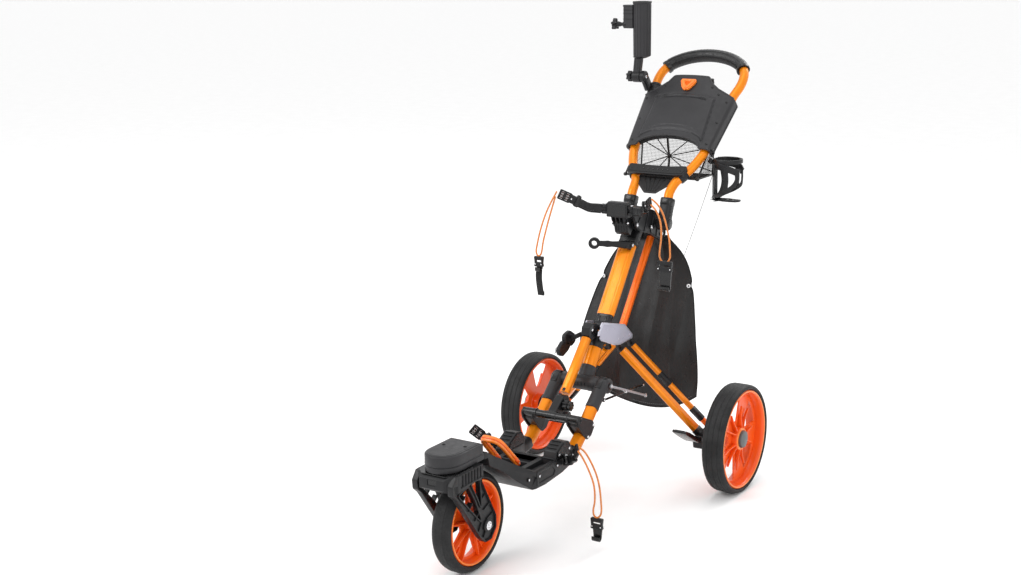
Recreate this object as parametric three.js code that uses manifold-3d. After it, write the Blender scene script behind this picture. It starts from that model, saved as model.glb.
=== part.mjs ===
// Three-wheel folding golf push cart, modelled unfolded. Millimetres, +Z up, front wheel towards -Y.
// Points are given as (x, y, z) with y counted from the rear axle; the whole group is moved at the end
// so that the origin lies on the ground under the middle of the cart.
import * as THREE from 'three';
import { mergeVertices } from 'three/addons/utils/BufferGeometryUtils.js';
import Module from 'manifold-3d';

const wasm = await Module();
wasm.setup();

// ---------------------------------------------------------------- driving dimensions
const GAP = 0.3;                                    // clearance kept between touching pieces
const REAR_WHEEL = { radius: 148, width: 63, rim: 134.5, halfTrack: 317 };
const FRONT_WHEEL = { radius: 124, width: 56, rim: 105, wheelbase: 807 };
const COLUMN_LEAN = 36.5;                           // degrees back from vertical
const COLUMN_PIVOT = [-165, 458];                   // side-view points are [y, z]
const LINK_PIVOT = [-65, 415];
const COLUMN_LENGTH = 308;                          // lower pivot to upper pivot
const LEG_PIVOT = [-113, 406];
const LEG_LINK_OFFSET = 60;                         // the leg link runs this far behind the leg
const LEG_FOOT = [-35, 160];
const RAIL_X = 67;
const FRONT_FOLD = [-481, 214];                     // hinge line between the rails and the front arm
const STEER_AXIS_Y = -858;
const HANDLE_PIVOT = [80, 700];
const HANDLE_RISE = 43.34;                          // degrees above horizontal
const HANDLE_BASE = [120, 789];                     // side-view point of the handle plane at s = 0
const TUBE_R = 13;
const CORD_R = 2.5;
const ORIGIN_SHIFT_Y = 226;                         // rear axle to the middle of the cart

// ---------------------------------------------------------------- materials
const metal = (color, roughness = 0.3) => new THREE.MeshStandardMaterial({ color, roughness, metalness: 0.8 });
const plastic = (color, roughness = 0.5) => new THREE.MeshStandardMaterial({ color, roughness, metalness: 0 });
const ORANGE = () => metal(0xf58a1f, 0.28);
const BLACK = () => plastic(0x26262a, 0.5);
const SILVER = () => metal(0xb9b8c4, 0.4);
const RUBBER = () => plastic(0x2b2b2d, 0.8);
const RIM = () => plastic(0xf2541b, 0.35);
const FABRIC = () => plastic(0x1b1b1e, 0.9);
const CORD = () => plastic(0xe08a3c, 0.7);

// ---------------------------------------------------------------- helpers
const V = (x, y, z) => new THREE.Vector3(x, y, z);
const rad = THREE.MathUtils.degToRad;
const cart = new THREE.Group();

// Merges shared corners, drops triangles without area and turns the faces outwards.
function clean(geometry) {
  const bare = geometry.index ? geometry.toNonIndexed() : geometry.clone();
  bare.deleteAttribute('normal');
  bare.deleteAttribute('uv');
  const merged = mergeVertices(bare, 1e-3);
  const index = merged.index.array;
  const p = merged.attributes.position;
  const kept = [];
  let volume = 0;
  for (let i = 0; i < index.length; i += 3) {
    const [a, b, c] = [index[i], index[i + 1], index[i + 2]];
    if (a === b || b === c || a === c) continue;
    kept.push(a, b, c);
    const va = V().fromBufferAttribute(p, a);
    const vb = V().fromBufferAttribute(p, b);
    const vc = V().fromBufferAttribute(p, c);
    volume += va.dot(vb.cross(vc));
  }
  if (volume < 0) {
    for (let i = 0; i < kept.length; i += 3) [kept[i], kept[i + 1]] = [kept[i + 1], kept[i]];
  }
  merged.setIndex(kept);
  return merged;
}

function toSolid(geometry) {
  const g = clean(geometry);
  return new wasm.Manifold(new wasm.Mesh({
    numProp: 3,
    vertProperties: Float32Array.from(g.attributes.position.array),
    triVerts: Uint32Array.from(g.index.array),
  }));
}

function fromSolid(solid) {
  const mesh = solid.getMesh();
  const g = new THREE.BufferGeometry();
  const xyz = new Float32Array(mesh.numVert * 3);
  for (let i = 0; i < mesh.numVert; i += 1) {
    for (let k = 0; k < 3; k += 1) xyz[3 * i + k] = mesh.vertProperties[i * mesh.numProp + k];
  }
  g.setAttribute('position', new THREE.BufferAttribute(xyz, 3));
  g.setIndex(Array.from(mesh.triVerts));
  return g;
}

const join = (...list) => fromSolid(list.map(toSolid).reduce((a, b) => a.add(b)));
const cut = (body, ...list) => fromSolid(list.map(toSolid).reduce((a, b) => a.subtract(b), toSolid(body)));
const common = (a, b) => fromSolid(toSolid(a).intersect(toSolid(b)));

function add(name, geometry, material) {
  const mesh = new THREE.Mesh(clean(geometry), material);
  mesh.name = name;
  cart.add(mesh);
}

// Adds the right-hand piece and its mirror image.
function addPair(name, geometry, material) {
  add(`${name}_right`, geometry, material());
  add(`${name}_left`, geometry.clone().scale(-1, 1, 1), material());
}

function shapeOf(points, holes = []) {
  const shape = new THREE.Shape(points.map(([a, b]) => new THREE.Vector2(a, b)));
  for (const hole of holes) shape.holes.push(new THREE.Path(hole.map(([a, b]) => new THREE.Vector2(a, b))));
  return shape;
}

// A rectangle whose four corners are broken by c.
function eased(width, height, c) {
  const [w, h] = [width / 2, height / 2];
  return shapeOf([[-w + c, -h], [w - c, -h], [w, -h + c], [w, h - c], [w - c, h], [-w + c, h], [-w, h - c],
    [-w, -h + c]]);
}

const extrude = (shape, depth) => new THREE.ExtrudeGeometry(shape, { depth, bevelEnabled: false });

// A side-view outline [y, z] given a width from x0 to x1.
function sidePlate(points, x0, x1, holes = []) {
  const turn = new THREE.Matrix4().makeBasis(V(0, 1, 0), V(0, 0, 1), V(1, 0, 0)).setPosition(x0, 0, 0);
  return extrude(shapeOf(points, holes), x1 - x0).applyMatrix4(turn);
}

// A plan outline [x, y] given a height from z0 to z1.
const planPlate = (points, z0, z1) => extrude(shapeOf(points), z1 - z0).translate(0, 0, z0);

// A straight bar of rectangular section with broken corners; width lies along side.
function bar(a, b, side, width, thick, corner = 2) {
  const along = V().subVectors(b, a);
  const z = along.clone().normalize();
  const x = side.clone().addScaledVector(z, -side.dot(z)).normalize();
  const y = V().crossVectors(z, x);
  const turn = new THREE.Matrix4().makeBasis(x, y, z).setPosition(a);
  return extrude(eased(width, thick, corner), along.length()).applyMatrix4(turn);
}

function rod(a, b, radius, sides = 16) {
  const along = V().subVectors(b, a);
  const g = new THREE.CylinderGeometry(radius, radius, along.length(), sides);
  const turn = new THREE.Quaternion().setFromUnitVectors(V(0, 1, 0), along.clone().normalize());
  return g.applyQuaternion(turn).translate(...V().addVectors(a, b).multiplyScalar(0.5).toArray());
}

// A disc or pin whose axis runs along x.
const pinX = (x0, x1, [y, z], radius, sides = 24) => rod(V(x0, y, z), V(x1, y, z), radius, sides);

// A turned piece about the x axis; the profile is [radius, x].
function turnX(profile, [y, z], x = 0, sides = 48) {
  const points = profile.map(([r, h]) => new THREE.Vector2(r, h));
  return new THREE.LatheGeometry(points, sides).rotateZ(-Math.PI / 2).translate(x, y, z);
}

function polygon(radius, sides) {
  return Array.from({ length: sides }, (_, i) => {
    const a = (i * 2 * Math.PI) / sides;
    return [radius * Math.cos(a), radius * Math.sin(a)];
  });
}

function sweep(points, section, steps) {
  const extrudePath = new THREE.CatmullRomCurve3(points, false, 'centripetal');
  return new THREE.ExtrudeGeometry(section, { steps, bevelEnabled: false, extrudePath });
}

// A box of nu x nv x 1 cells whose corners go where place(u, v, w) says, with u in -1..1 and v, w in 0..1.
function mapped(nu, nv, place) {
  const g = new THREE.BoxGeometry(2, 1, 1, nu, nv, 1);
  const p = g.attributes.position;
  for (let i = 0; i < p.count; i += 1) {
    const q = place(p.getX(i), p.getY(i) + 0.5, p.getZ(i) + 0.5);
    p.setXYZ(i, q.x, q.y, q.z);
  }
  return g;
}

const circle = ([y, z], r, sides = 20) => polygon(r, sides).map(([a, b]) => [y + a, z + b]);

// Points along the column: t from the lower pivot, n in front of (-) or behind (+) its middle line.
const UP = [Math.sin(rad(COLUMN_LEAN)), Math.cos(rad(COLUMN_LEAN))];
const columnPoint = ([y, z], t, n = 0) => [y + UP[0] * t + UP[1] * n, z + UP[1] * t - UP[0] * n];

// Points of the handle plane: s up the handle, off in front of the plane.
const RISE = [Math.cos(rad(HANDLE_RISE)), Math.sin(rad(HANDLE_RISE))];
const handlePoint = (x, s, off = 0) =>
  V(x, HANDLE_BASE[0] + RISE[0] * s - RISE[1] * off, HANDLE_BASE[1] + RISE[1] * s + RISE[0] * off);

// ---------------------------------------------------------------- central hinge and front frame
function centralHinge() {
  const outline = [[-206, 479], [-84, 447], [-40, 409], [-42, 397], [-108, 394], [-142, 400],
    [-200, 424], [-233, 437], [-226, 458]];
  addPair('hinge_plate', sidePlate(outline, 22, 25.5), SILVER);
  const lug = [[-256, 452], [-252, 474], [-236, 482], [-212, 476], [-205, 458], [-214, 438], [-240, 436]];
  add('hinge_lug', sidePlate(lug, -21, 21), BLACK());
  const [y0, z0] = columnPoint(COLUMN_PIVOT, -118);
  const [y1, z1] = columnPoint(COLUMN_PIVOT, -20);
  add('post_tube', rod(V(0, y0, z0), V(0, y1, z1), 19, 28), ORANGE());
}

const RAIL_TOP = [-252, 359];
const RAIL_PATH = [[-338, 284], [-402, 225], [-432, 204], [-462, 197], [-481, 196]];

function railGeometry(grow = 0) {
  const points = RAIL_PATH.map(([y, z]) => V(RAIL_X, y, z));
  return sweep(points, eased(30 + grow, 28 + grow, 8), 12);
}

function frontFrame() {
  const [y0, z0] = columnPoint(COLUMN_PIVOT, -118 - GAP);
  const [y1, z1] = columnPoint(COLUMN_PIVOT, -160);
  const sleeves = [-1, 1].map((side) => bar(V(side * RAIL_X, -273, 341),
    V(side * RAIL_X, RAIL_PATH[0][0] + GAP, RAIL_PATH[0][1] + GAP), V(1, 0, 0), 37, 34, 12));
  const tee = pinX(-RAIL_X - 18, RAIL_X + 18, [-275, 330], 20, 24);
  // Flat stays that cross behind the sleeves and end beside the legs.
  const stays = [-1, 1].flatMap((side) => [
    bar(V(side * 78, -303, 300), V(side * 82, -90, 286), V(0, 0, 1), 13, 5, 1),
    bar(V(side * 78, -273, 330), V(side * 94, -94, 259), V(0, 0, 1), 13, 5, 1),
  ]);
  const socket = rod(V(0, y0, z0), V(0, y1, z1), 21, 24);
  add('front_casting', join(tee, socket, ...sleeves, ...stays), BLACK());
  addPair('front_rail', railGeometry(), ORANGE);

  const barLine = [-426, 279];
  const clamp = [[-440, 280], [-428, 292], [-412, 284], [-362, 262], [-352, 246], [-372, 224], [-392, 218],
    [-412, 236], [-436, 264]];
  const arms = [-1, 1].map((side) => sidePlate(clamp, side * RAIL_X - 19, side * RAIL_X + 19));
  const block = [[-438, 274], [-424, 292], [-384, 322], [-362, 318], [-352, 300], [-384, 280], [-420, 266]];
  const blank = join(pinX(-86, 86, barLine, 11, 20), ...arms, sidePlate(block, -12, 12));
  const bores = [railGeometry(2 * GAP), railGeometry(2 * GAP).scale(-1, 1, 1)];
  add('crossbar', cut(blank, ...bores), BLACK());

  add('strut_rod', rod(V(0, -247.6, 442.1), V(0, -361, 321.5), 10.5, 20), ORANGE());
  const knob = new THREE.Shape();
  const lobes = 8;
  for (let i = 0; i <= lobes * 4; i += 1) {
    const a = (i / (lobes * 4)) * 2 * Math.PI;
    const r = 14.5 + 1.5 * Math.cos(lobes * a);
    if (i === 0) knob.moveTo(r * Math.cos(a), r * Math.sin(a));
    else if (i < lobes * 4) knob.lineTo(r * Math.cos(a), r * Math.sin(a));
  }
  const turn = new THREE.Matrix4().makeBasis(V(0, 1, 0), V(0, 0, 1), V(1, 0, 0)).setPosition(13, -386, 298);
  add('adjuster_knob', extrude(knob, 24).applyMatrix4(turn), BLACK());
}

// Two-lobed pedal at the left of the hinge, which releases the fold.
function releasePedal() {
  const lobes = [[-262, 446], [-236, 452], [-218, 440], [-214, 424], [-226, 415], [-240, 411], [-262, 398],
    [-284, 388], [-304, 396], [-308, 414], [-292, 424], [-272, 428]];
  const pad = sidePlate(lobes, -66, -54);
  const stem = bar(V(-56, -236, 430), V(-30, -226, 446), V(0, 0, 1), 14, 6);
  add('release_pedal', join(pad, stem), BLACK());
}

// ---------------------------------------------------------------- column and its parallel link
function column() {
  const side = V(1, 0, 0);
  const at = (pivot, t) => V(0, ...columnPoint(pivot, t));
  add('column_tube', bar(at(COLUMN_PIVOT, 31), at(COLUMN_PIVOT, COLUMN_LENGTH + 9), side, 50, 20, 6), ORANGE());
  const foot = join(pinX(-20, 20, COLUMN_PIVOT, 13, 24),
    bar(at(COLUMN_PIVOT, 0), at(COLUMN_PIVOT, 31 - GAP), side, 40, 18, 3));
  add('column_foot', foot, BLACK());
  const link = join(bar(at(LINK_PIVOT, 0), at(LINK_PIVOT, COLUMN_LENGTH), side, 18, 17, 4),
    pinX(-9, 9, LINK_PIVOT, 9.5, 20), pinX(-9, 9, columnPoint(LINK_PIVOT, COLUMN_LENGTH), 9.5, 20));
  add('link_tube', link, ORANGE());
}

// ---------------------------------------------------------------- upper hinge and bag bracket
// A cradle arm: a root knuckle, a bent flat arm and a ladder plate with two slots at the tip.
function cradleArm(root, elbow, tip, width) {
  const along = V().subVectors(tip, elbow).normalize();
  const ladder = V().copy(tip).addScaledVector(along, -34);
  const rise = V(0, 0, 1).addScaledVector(along, -along.z).normalize();
  const arm = join(bar(root, elbow, V(0, 0, 1), width, 8, 2),
    bar(V().copy(elbow).addScaledVector(along, -4), ladder, rise, width, 8, 2));
  const plate = bar(V().copy(ladder).addScaledVector(along, -2), tip, rise, width + 4, 5, 2);
  const through = V().crossVectors(along, rise);
  const slots = [-22, -9].map((t) => {
    const c = V().copy(tip).addScaledVector(along, t);
    const a = V().copy(c).addScaledVector(through, -8);
    const b = V().copy(c).addScaledVector(through, 8);
    return bar(a, b, rise, width - 6, 6, 1);
  });
  const knuckle = rod(V(root.x, root.y, root.z - 13), V(root.x, root.y, root.z + 13), 7.5, 16);
  return cut(join(arm, plate, knuckle), ...slots);
}

function upperHinge() {
  const outline = [[-60, 744], [-38, 704], [-14, 690], [40, 676], [98, 648], [124, 648], [134, 664],
    [112, 712], [62, 738], [0, 758], [-54, 770]];
  const web = [[-60, 744], [-54, 770], [0, 758], [36, 746], [36, 736], [-20, 736], [-50, 728]];
  add('upper_hinge', join(sidePlate(outline, 29, 34), sidePlate(outline, -34, -29), sidePlate(web, -30, 30)),
    BLACK());
  add('bag_bracket', bar(V(0, -60 - GAP, 758), V(0, -84, 758), V(1, 0, 0), 64, 40, 4), BLACK());
  addPair('upper_cradle_arm', cradleArm(V(40, -74, 758), V(80, -94, 763), V(139, -152, 803), 24), BLACK);
}

function latchLever() {
  const [root, tip] = [V(18, -44, 658), V(-72, -80, 661)];
  const ring = rod(V(tip.x, tip.y, 656.5), V(tip.x, tip.y, 665.5), 13, 20);
  const stick = bar(root, V(-62, -76, 660.7), V(0, 0, 1), 15, 9, 3);
  const boss = rod(root, V(root.x, root.y + 11.4 * UP[1], root.z - 11.4 * UP[0]), 7, 16);
  const hole = rod(V(tip.x, tip.y, 640), V(tip.x, tip.y, 680), 7, 16);
  add('latch_lever', cut(join(stick, ring, boss), hole), BLACK());
}

// ---------------------------------------------------------------- handle
const HOOP = [[57, -11], [62, 24], [80, 55], [92, 77], [104, 110], [109, 130], [118, 230], [125, 338],
  [133, 375], [134, 402], [128, 430], [110, 456], [78, 476], [40, 488]];
const COLLAR_TOP = [104, 766];

function hoopCurve() {
  const start = [0.4, 7].map((t) => V(57, COLLAR_TOP[0] + 0.342 * t, COLLAR_TOP[1] + 0.94 * t));
  const half = [...start, ...HOOP.map(([x, s]) => handlePoint(x, s))];
  const mirror = half.map((p) => V(-p.x, p.y, p.z)).reverse();
  return new THREE.CatmullRomCurve3([...half, handlePoint(0, 492), ...mirror], false, 'centripetal');
}

// The stretch of the hoop between two parameters, as points for a sweep.
function stretch(curve, from, to, count) {
  return Array.from({ length: count + 1 }, (_, i) => curve.getPoint(from + ((to - from) * i) / count));
}

function handle() {
  const curve = hoopCurve();
  const hoopSteps = 60;
  const tube = new THREE.ExtrudeGeometry(shapeOf(polygon(TUBE_R, 10)),
    { steps: hoopSteps, bevelEnabled: false, extrudePath: curve });
  add('handle_hoop', tube, ORANGE());
  const grip = shapeOf(polygon(19, 12), [polygon(14.8, 10)]);
  add('grip', sweep(stretch(curve, 0.385, 0.615, 24), grip, 22), RUBBER());

  const base = V(57, ...HANDLE_PIVOT);
  const top = V(57, ...COLLAR_TOP);
  const collar = join(bar(base, top, V(1, 0, 0), 35, 34, 12), pinX(39.5, 74.5, HANDLE_PIVOT, 19, 24));
  addPair('handle_collar', collar, BLACK);

  const ends = [handlePoint(0, 34, TUBE_R + GAP), handlePoint(0, 64, TUBE_R + GAP)];
  const across = V().crossVectors(V(1, 0, 0), V().subVectors(ends[1], ends[0]).normalize());
  const lift = ends.map((p) => p.clone().addScaledVector(across, 5));
  add('handle_crossbar', bar(lift[0], lift[1], V(1, 0, 0), 176, 10, 4), BLACK());
}

// Half width, lower edge and upper edge of the console, and how far its skin stands in front of the tubes.
const consoleTop = (x) => {
  const a = Math.abs(x);
  if (a < 54) return 372;
  if (a < 68) return 372 - ((a - 54) / 14) * 20;
  if (a < 92) return 352 - ((a - 68) / 24) * 16;
  return 336 - ((a - 92) / 51) * 18;
};
const consoleBottom = (x) => (Math.abs(x) < 98 ? 133 + 33 * Math.sqrt(1 - (x / 98) ** 2) : 133);
const consoleHalf = (s) => 129 + (14 * (Math.min(s, 318) - 133)) / 185;
function consoleLift(x, s) {
  const t = THREE.MathUtils.clamp((s - 133) / 235, 0, 1);
  const crown = 12 + 20 * t;
  return 16.5 + crown * Math.max(0, 1 - (Math.abs(x) / consoleHalf(s)) ** 2.4);
}

function consolePanel() {
  const wall = 4;
  const place = (u, v, w) => {
    const x = u * consoleHalf(133 + 185 * v);
    const s = THREE.MathUtils.lerp(consoleBottom(x), consoleTop(x), v);
    return handlePoint(x, s, consoleLift(x, s) - wall * (1 - w));
  };
  const skin = mapped(14, 5, place);
  const sides = [-1, 1].map((side) => mapped(1, 4, (u, v, w) => {
    const s = 133 + 185 * v;
    const x = side * (consoleHalf(s) - (u < 0 ? wall : 0.01));
    return handlePoint(x, s, w > 0.5 ? 14 : -14);
  }));
  add('console', join(skin, ...sides), BLACK());
  const clip = mapped(2, 2, (u, v, w) => {
    const s = 316 + 38 * v;
    return handlePoint(u * (14 + 8 * v), s, consoleLift(0, s) + 0.4 + 10 * w);
  });
  add('console_clip', clip, RIM());
}

// Open-fronted tray that the net hangs in.
function basket() {
  const outer = [[168, 812], [264, 812], [275, 914], [262, 903]];
  const inner = [[160, 815], [261, 815], [272, 918], [240, 925]];
  add('basket', cut(sidePlate(outer, -114, 114), sidePlate(inner, -111, 111)), FABRIC());
}

const CUP = { x: 174, y: 236, r: 41, base: 748, top: 866 };
function cupHolder() {
  const ring = (z0, z1, r0, r1) => {
    const band = [new THREE.Vector2(r0, z0), new THREE.Vector2(r1, z0), new THREE.Vector2(r1, z1),
      new THREE.Vector2(r0, z1), new THREE.Vector2(r0, z0)];
    return new THREE.LatheGeometry(band, 20).rotateX(Math.PI / 2).translate(CUP.x, CUP.y, 0);
  };
  const post = (angle, width) => {
    const dir = V(Math.cos(rad(angle)), Math.sin(rad(angle)), 0);
    const across = V(-dir.y, dir.x, 0);
    const at = (z) => V(CUP.x, CUP.y, z).addScaledVector(dir, CUP.r - 2);
    return bar(at(CUP.base + 2), at(CUP.top - 2), across, width, 5, 1);
  };
  const arm = bar(V(CUP.x - CUP.r + 3, CUP.y - 4, 856), V(127, CUP.y - 14, 861), V(0, 1, 0), 22, 8, 2);
  const foot = new THREE.CylinderGeometry(CUP.r, CUP.r, 5, 20).rotateX(Math.PI / 2);
  foot.translate(CUP.x, CUP.y, CUP.base + 2.5);
  add('cup_holder', join(ring(CUP.top - 12, CUP.top, CUP.r - 4, CUP.r), ring(CUP.base + 34, CUP.base + 42,
    CUP.r - 4, CUP.r), foot, post(180, 24), post(60, 12), post(-60, 12), arm), BLACK());
}

const TILT = [334, 1073];
function umbrellaHolder() {
  const low = handlePoint(-125.4, 332);
  const high = handlePoint(-131.5, 368);
  const ring = cut(rod(low, high, 20, 24), rod(V().lerpVectors(low, high, -0.5), V().lerpVectors(low, high, 1.5),
    TUBE_R + 1.6, 24));
  const mid = V().lerpVectors(low, high, 0.5);
  const arm = bar(V(-140, mid.y - 17, mid.z + 9), V(-143, TILT[0], TILT[1]), V(1, 0, 0), 12, 22, 3);
  const clampBody = join(ring, arm, pinX(-150, -136, TILT, 17, 24));
  const bore = rod(V().lerpVectors(low, high, -0.5), V().lerpVectors(low, high, 1.5), TUBE_R + 1.6, 24);
  add('umbrella_clamp', cut(clampBody, bore), BLACK());

  const axisX = -152;
  const barrel = new THREE.CylinderGeometry(26, 25, 155, 28).rotateX(Math.PI / 2).translate(axisX, 340, 1207.5);
  const rim = new THREE.CylinderGeometry(27.5, 27.5, 6, 28).rotateX(Math.PI / 2).translate(axisX, 340, 1285);
  const socket = new THREE.CylinderGeometry(18, 18, 150, 24).rotateX(Math.PI / 2).translate(axisX, 340, 1219);
  const neck = rod(V(-161, 338, 1140), V(-165.5, TILT[0], TILT[1] + 6), 11, 20);
  const lobe = bar(V(-170, 336, 1244), V(-206, 336, 1244), V(0, 0, 1), 68, 24, 8);
  const holder = join(barrel, rim, lobe, neck, pinX(-176, -150 - GAP, TILT, 17, 24));
  add('umbrella_holder', cut(holder, socket), BLACK());

  const grip = pinX(-196, -181, TILT, 15, 18);
  add('umbrella_tilt_knob', join(grip, pinX(-183, -176.5, TILT, 7, 16)), BLACK());
  const star = pinX(-244, -228, [331, 1222], 17, 10);
  add('umbrella_set_knob', join(star, pinX(-230, -206 - GAP, [331, 1222], 6, 14)), BLACK());
}

// ---------------------------------------------------------------- front arm, head, fork and front wheel
function headOutline(halfWidth, front, back) {
  const points = [[halfWidth, back], [-halfWidth, back], [-halfWidth, front + 52]];
  for (let i = 1; i < 10; i += 1) {
    const a = (i / 10) * Math.PI;
    points.push([-halfWidth * Math.cos(a), front + 52 - 52 * Math.sin(a)]);
  }
  points.push([halfWidth, front + 52]);
  return points;
}

function frontArm() {
  const side = [[-482, 180], [-482, 213], [-650, 213], [-776, 290], [-790, 299.6], [-800, 299.6],
    [-800, 284], [-786, 284], [-780, 262], [-748, 243], [-724, 224], [-700, 202], [-655, 168], [-600, 166],
    [-520, 172]];
  const plan = [[48, -481], [88, -481], [88, -644], [46, -762], [46, -802], [-46, -802], [-46, -762],
    [-88, -644], [-88, -481], [-48, -481], [-48, -546], [48, -546]];
  const body = common(sidePlate(side, -90, 90), planPlate(plan, 150, 310));
  const head = planPlate(headOutline(46, -945, -790), 284, 299.7);
  add('front_arm', join(body, head), BLACK());
  add('head_cover', planPlate(headOutline(46, -945, -806), 300, 327), BLACK());

  const loop = [V(28, -634, 221), V(27, -668, 256), V(25, -698, 286), V(13, -712, 300), V(-13, -712, 300),
    V(-25, -698, 286), V(-27, -668, 256), V(-28, -634, 221)];
  add('bag_rest', sweep(loop, eased(14, 12, 3), 24), ORANGE());
  addPair('lower_cradle_arm', cradleArm(V(96, -516, 204), V(118, -524, 212), V(157, -560, 258), 24), BLACK);
}

const AXLE = [-FRONT_WHEEL.wheelbase, FRONT_WHEEL.radius];
function fork() {
  const [ay, az] = AXLE;
  const arm = [[-932, 283], [-948, 262], [-946, 240], [-930, 226], [ay - 32, az - 22], [ay - 14, az - 38],
    [ay + 12, az - 38], [ay + 34, az - 14], [ay + 34, az + 16], [ay - 22, az + 118], [ay - 18, 283]];
  const opening = [[-912, 236], [-868, 240], [-846, 206], [-836, 158]];
  const arms = [sidePlate(arm, 42, 58, [opening]), sidePlate(arm, -58, -42, [opening])];
  const crown = common(
    sidePlate([[-950, 250], [-950, 274], [-936, 283.5 - GAP], [-824, 283.5 - GAP], [-824, 254], [-936, 240]], -60, 60),
    planPlate([[34, -950], [58, -926], [58, -824], [-58, -824], [-58, -926], [-34, -950]], 230, 290),
  );
  const shaft = pinX(-70, 70, AXLE, 6 + GAP, 20);
  add('fork', cut(join(...arms, crown), shaft), BLACK());
  add('front_axle', join(pinX(-62, 62, AXLE, 6, 20), pinX(-66, -58 - GAP, AXLE, 9, 6), pinX(58 + GAP, 66, AXLE, 9, 6)),
    SILVER());
}

function tyre(name, { radius, width, rim }, centre, x, sides) {
  const h = width / 2;
  const shoulder = radius - 9;
  const profile = [[rim, -h + 7], [rim + 4, -h], [shoulder, -h + 3], [radius, -h + 16], [radius, h - 16],
    [shoulder, h - 3], [rim + 4, h], [rim, h - 7], [rim, -h + 7]];
  add(name, turnX(profile, centre, x, sides), RUBBER());
}

// A dished wheel centre: outer band, hub and evenly spaced spokes around the axle.
function rimGeometry({ rim, width }, hub, bore, spokes, dish) {
  const h = width / 2 - 8;
  const outer = rim - GAP;
  const band = [[outer, -h], [outer, h], [outer - 5, h], [outer - 11, 0], [outer - 5, -h], [outer, -h]];
  const core = [[bore, -width / 2 + 6], [hub, -width / 2 + 6], [hub, width / 2 + dish], [bore, width / 2 + dish],
    [bore, -width / 2 + 6]];
  const pieces = [turnX(band, [0, 0], 0, 36), turnX(core, [0, 0], 0, 18)];
  for (let i = 0; i < spokes; i += 1) {
    const a = (i / spokes) * 2 * Math.PI;
    const dir = [Math.cos(a), Math.sin(a)];
    pieces.push(bar(V(dish / 2, dir[0] * (hub - 4), dir[1] * (hub - 4)),
      V(0, dir[0] * (outer - 9), dir[1] * (outer - 9)), V(0, -dir[1], dir[0]), 26, 9, 2));
  }
  return join(...pieces);
}

function frontWheel() {
  tyre('front_tyre', FRONT_WHEEL, AXLE, 0, 36);
  add('front_rim', rimGeometry(FRONT_WHEEL, 24, 6 + GAP, 5, 0).translate(0, ...AXLE), RIM());
}

// ---------------------------------------------------------------- rear legs and wheels
const LEG_NORMAL = V(0.794, 0, 0.608);
const REAR_AXLE = [0, REAR_WHEEL.radius];

function leg(offset, breadth, thick) {
  const top = V(27, -101 + offset, 378);
  const foot = V(225, LEG_FOOT[0] + offset, LEG_FOOT[1]);
  const along = V().subVectors(foot, top).normalize();
  const inPlane = V().crossVectors(LEG_NORMAL, along);
  const pivot = [LEG_PIVOT[0] + offset, LEG_PIVOT[1]];
  const ankle = [LEG_FOOT[0] + offset, LEG_FOOT[1] - 2];
  return join(
    bar(top, V().copy(foot).addScaledVector(along, 4), inPlane, breadth, thick, 5),
    pinX(10.5, 20.5, pivot, 10.5, 20),
    bar(V(15.5, ...pivot), V(15.5, pivot[0] + 15, 377), V(0, 1, 0), 13, 10, 2),
    bar(V(14, pivot[0] + 15, 380), V(33, pivot[0] + 14, 376), V(0, 1, 0), 13, 10, 2),
    pinX(222, 241.5, ankle, 13, 20),
  );
}

function rearLegs() {
  addPair('rear_leg', leg(0, 26, 18), ORANGE);
  addPair('leg_link', leg(LEG_LINK_OFFSET, 16, 14), ORANGE);
  const plate = [[-53, 158], [-47, 174], [-30, 178], [30, 178], [44, 170], [44, 154], [22, 130], [-22, 126],
    [-46, 142]];
  const brake = sidePlate([[-28, 108], [-32, 130], [10, 136], [16, 112]], 205, 262);
  const housing = join(sidePlate(plate, 242, 283), brake, pinX(240, 350, REAR_AXLE, 8, 24));
  addPair('axle_housing', housing, BLACK);
  for (const side of [1, -1]) {
    const name = side > 0 ? 'right' : 'left';
    tyre(`rear_tyre_${name}`, REAR_WHEEL, REAR_AXLE, side * REAR_WHEEL.halfTrack, 36);
    const rim = rimGeometry(REAR_WHEEL, 26, 8 + GAP, 5, 2).scale(side, 1, 1);
    add(`rear_rim_${name}`, rim.translate(side * REAR_WHEEL.halfTrack, ...REAR_AXLE), RIM());
  }
  const pedal = [[-58, 140], [-50, 144], [-58, 154], [-88, 166], [-118, 184], [-142, 194], [-146, 188],
    [-122, 172], [-92, 154], [-66, 140]];
  add('brake_pedal', sidePlate(pedal, 200, 241.7), BLACK());
}

// ---------------------------------------------------------------- storage bag behind the column
function storageBag() {
  const halfWidth = [[0, 184], [0.1, 188], [0.3, 178], [0.45, 164], [0.6, 148], [0.78, 124], [0.9, 100], [1, 50]];
  const lean = [[170, 52], [250, 46], [370, 52], [453, 78], [558, 118], [650, 134]];
  const along = (table, t) => {
    const i = table.findIndex(([a]) => a >= t);
    if (i <= 0) return table[i < 0 ? table.length - 1 : 0][1];
    const [[a0, b0], [a1, b1]] = [table[i - 1], table[i]];
    return b0 + ((b1 - b0) * (t - a0)) / (a1 - a0);
  };
  add('storage_bag', mapped(10, 14, (u, v, w) => {
    const hem = 226 - 46 * (1 - u ** 2);
    const z = THREE.MathUtils.lerp(hem, 648, v);
    return V(-16 + u * along(halfWidth, v), along(lean, z) + 22 * (1 - w), z);
  }), FABRIC());
}

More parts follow.
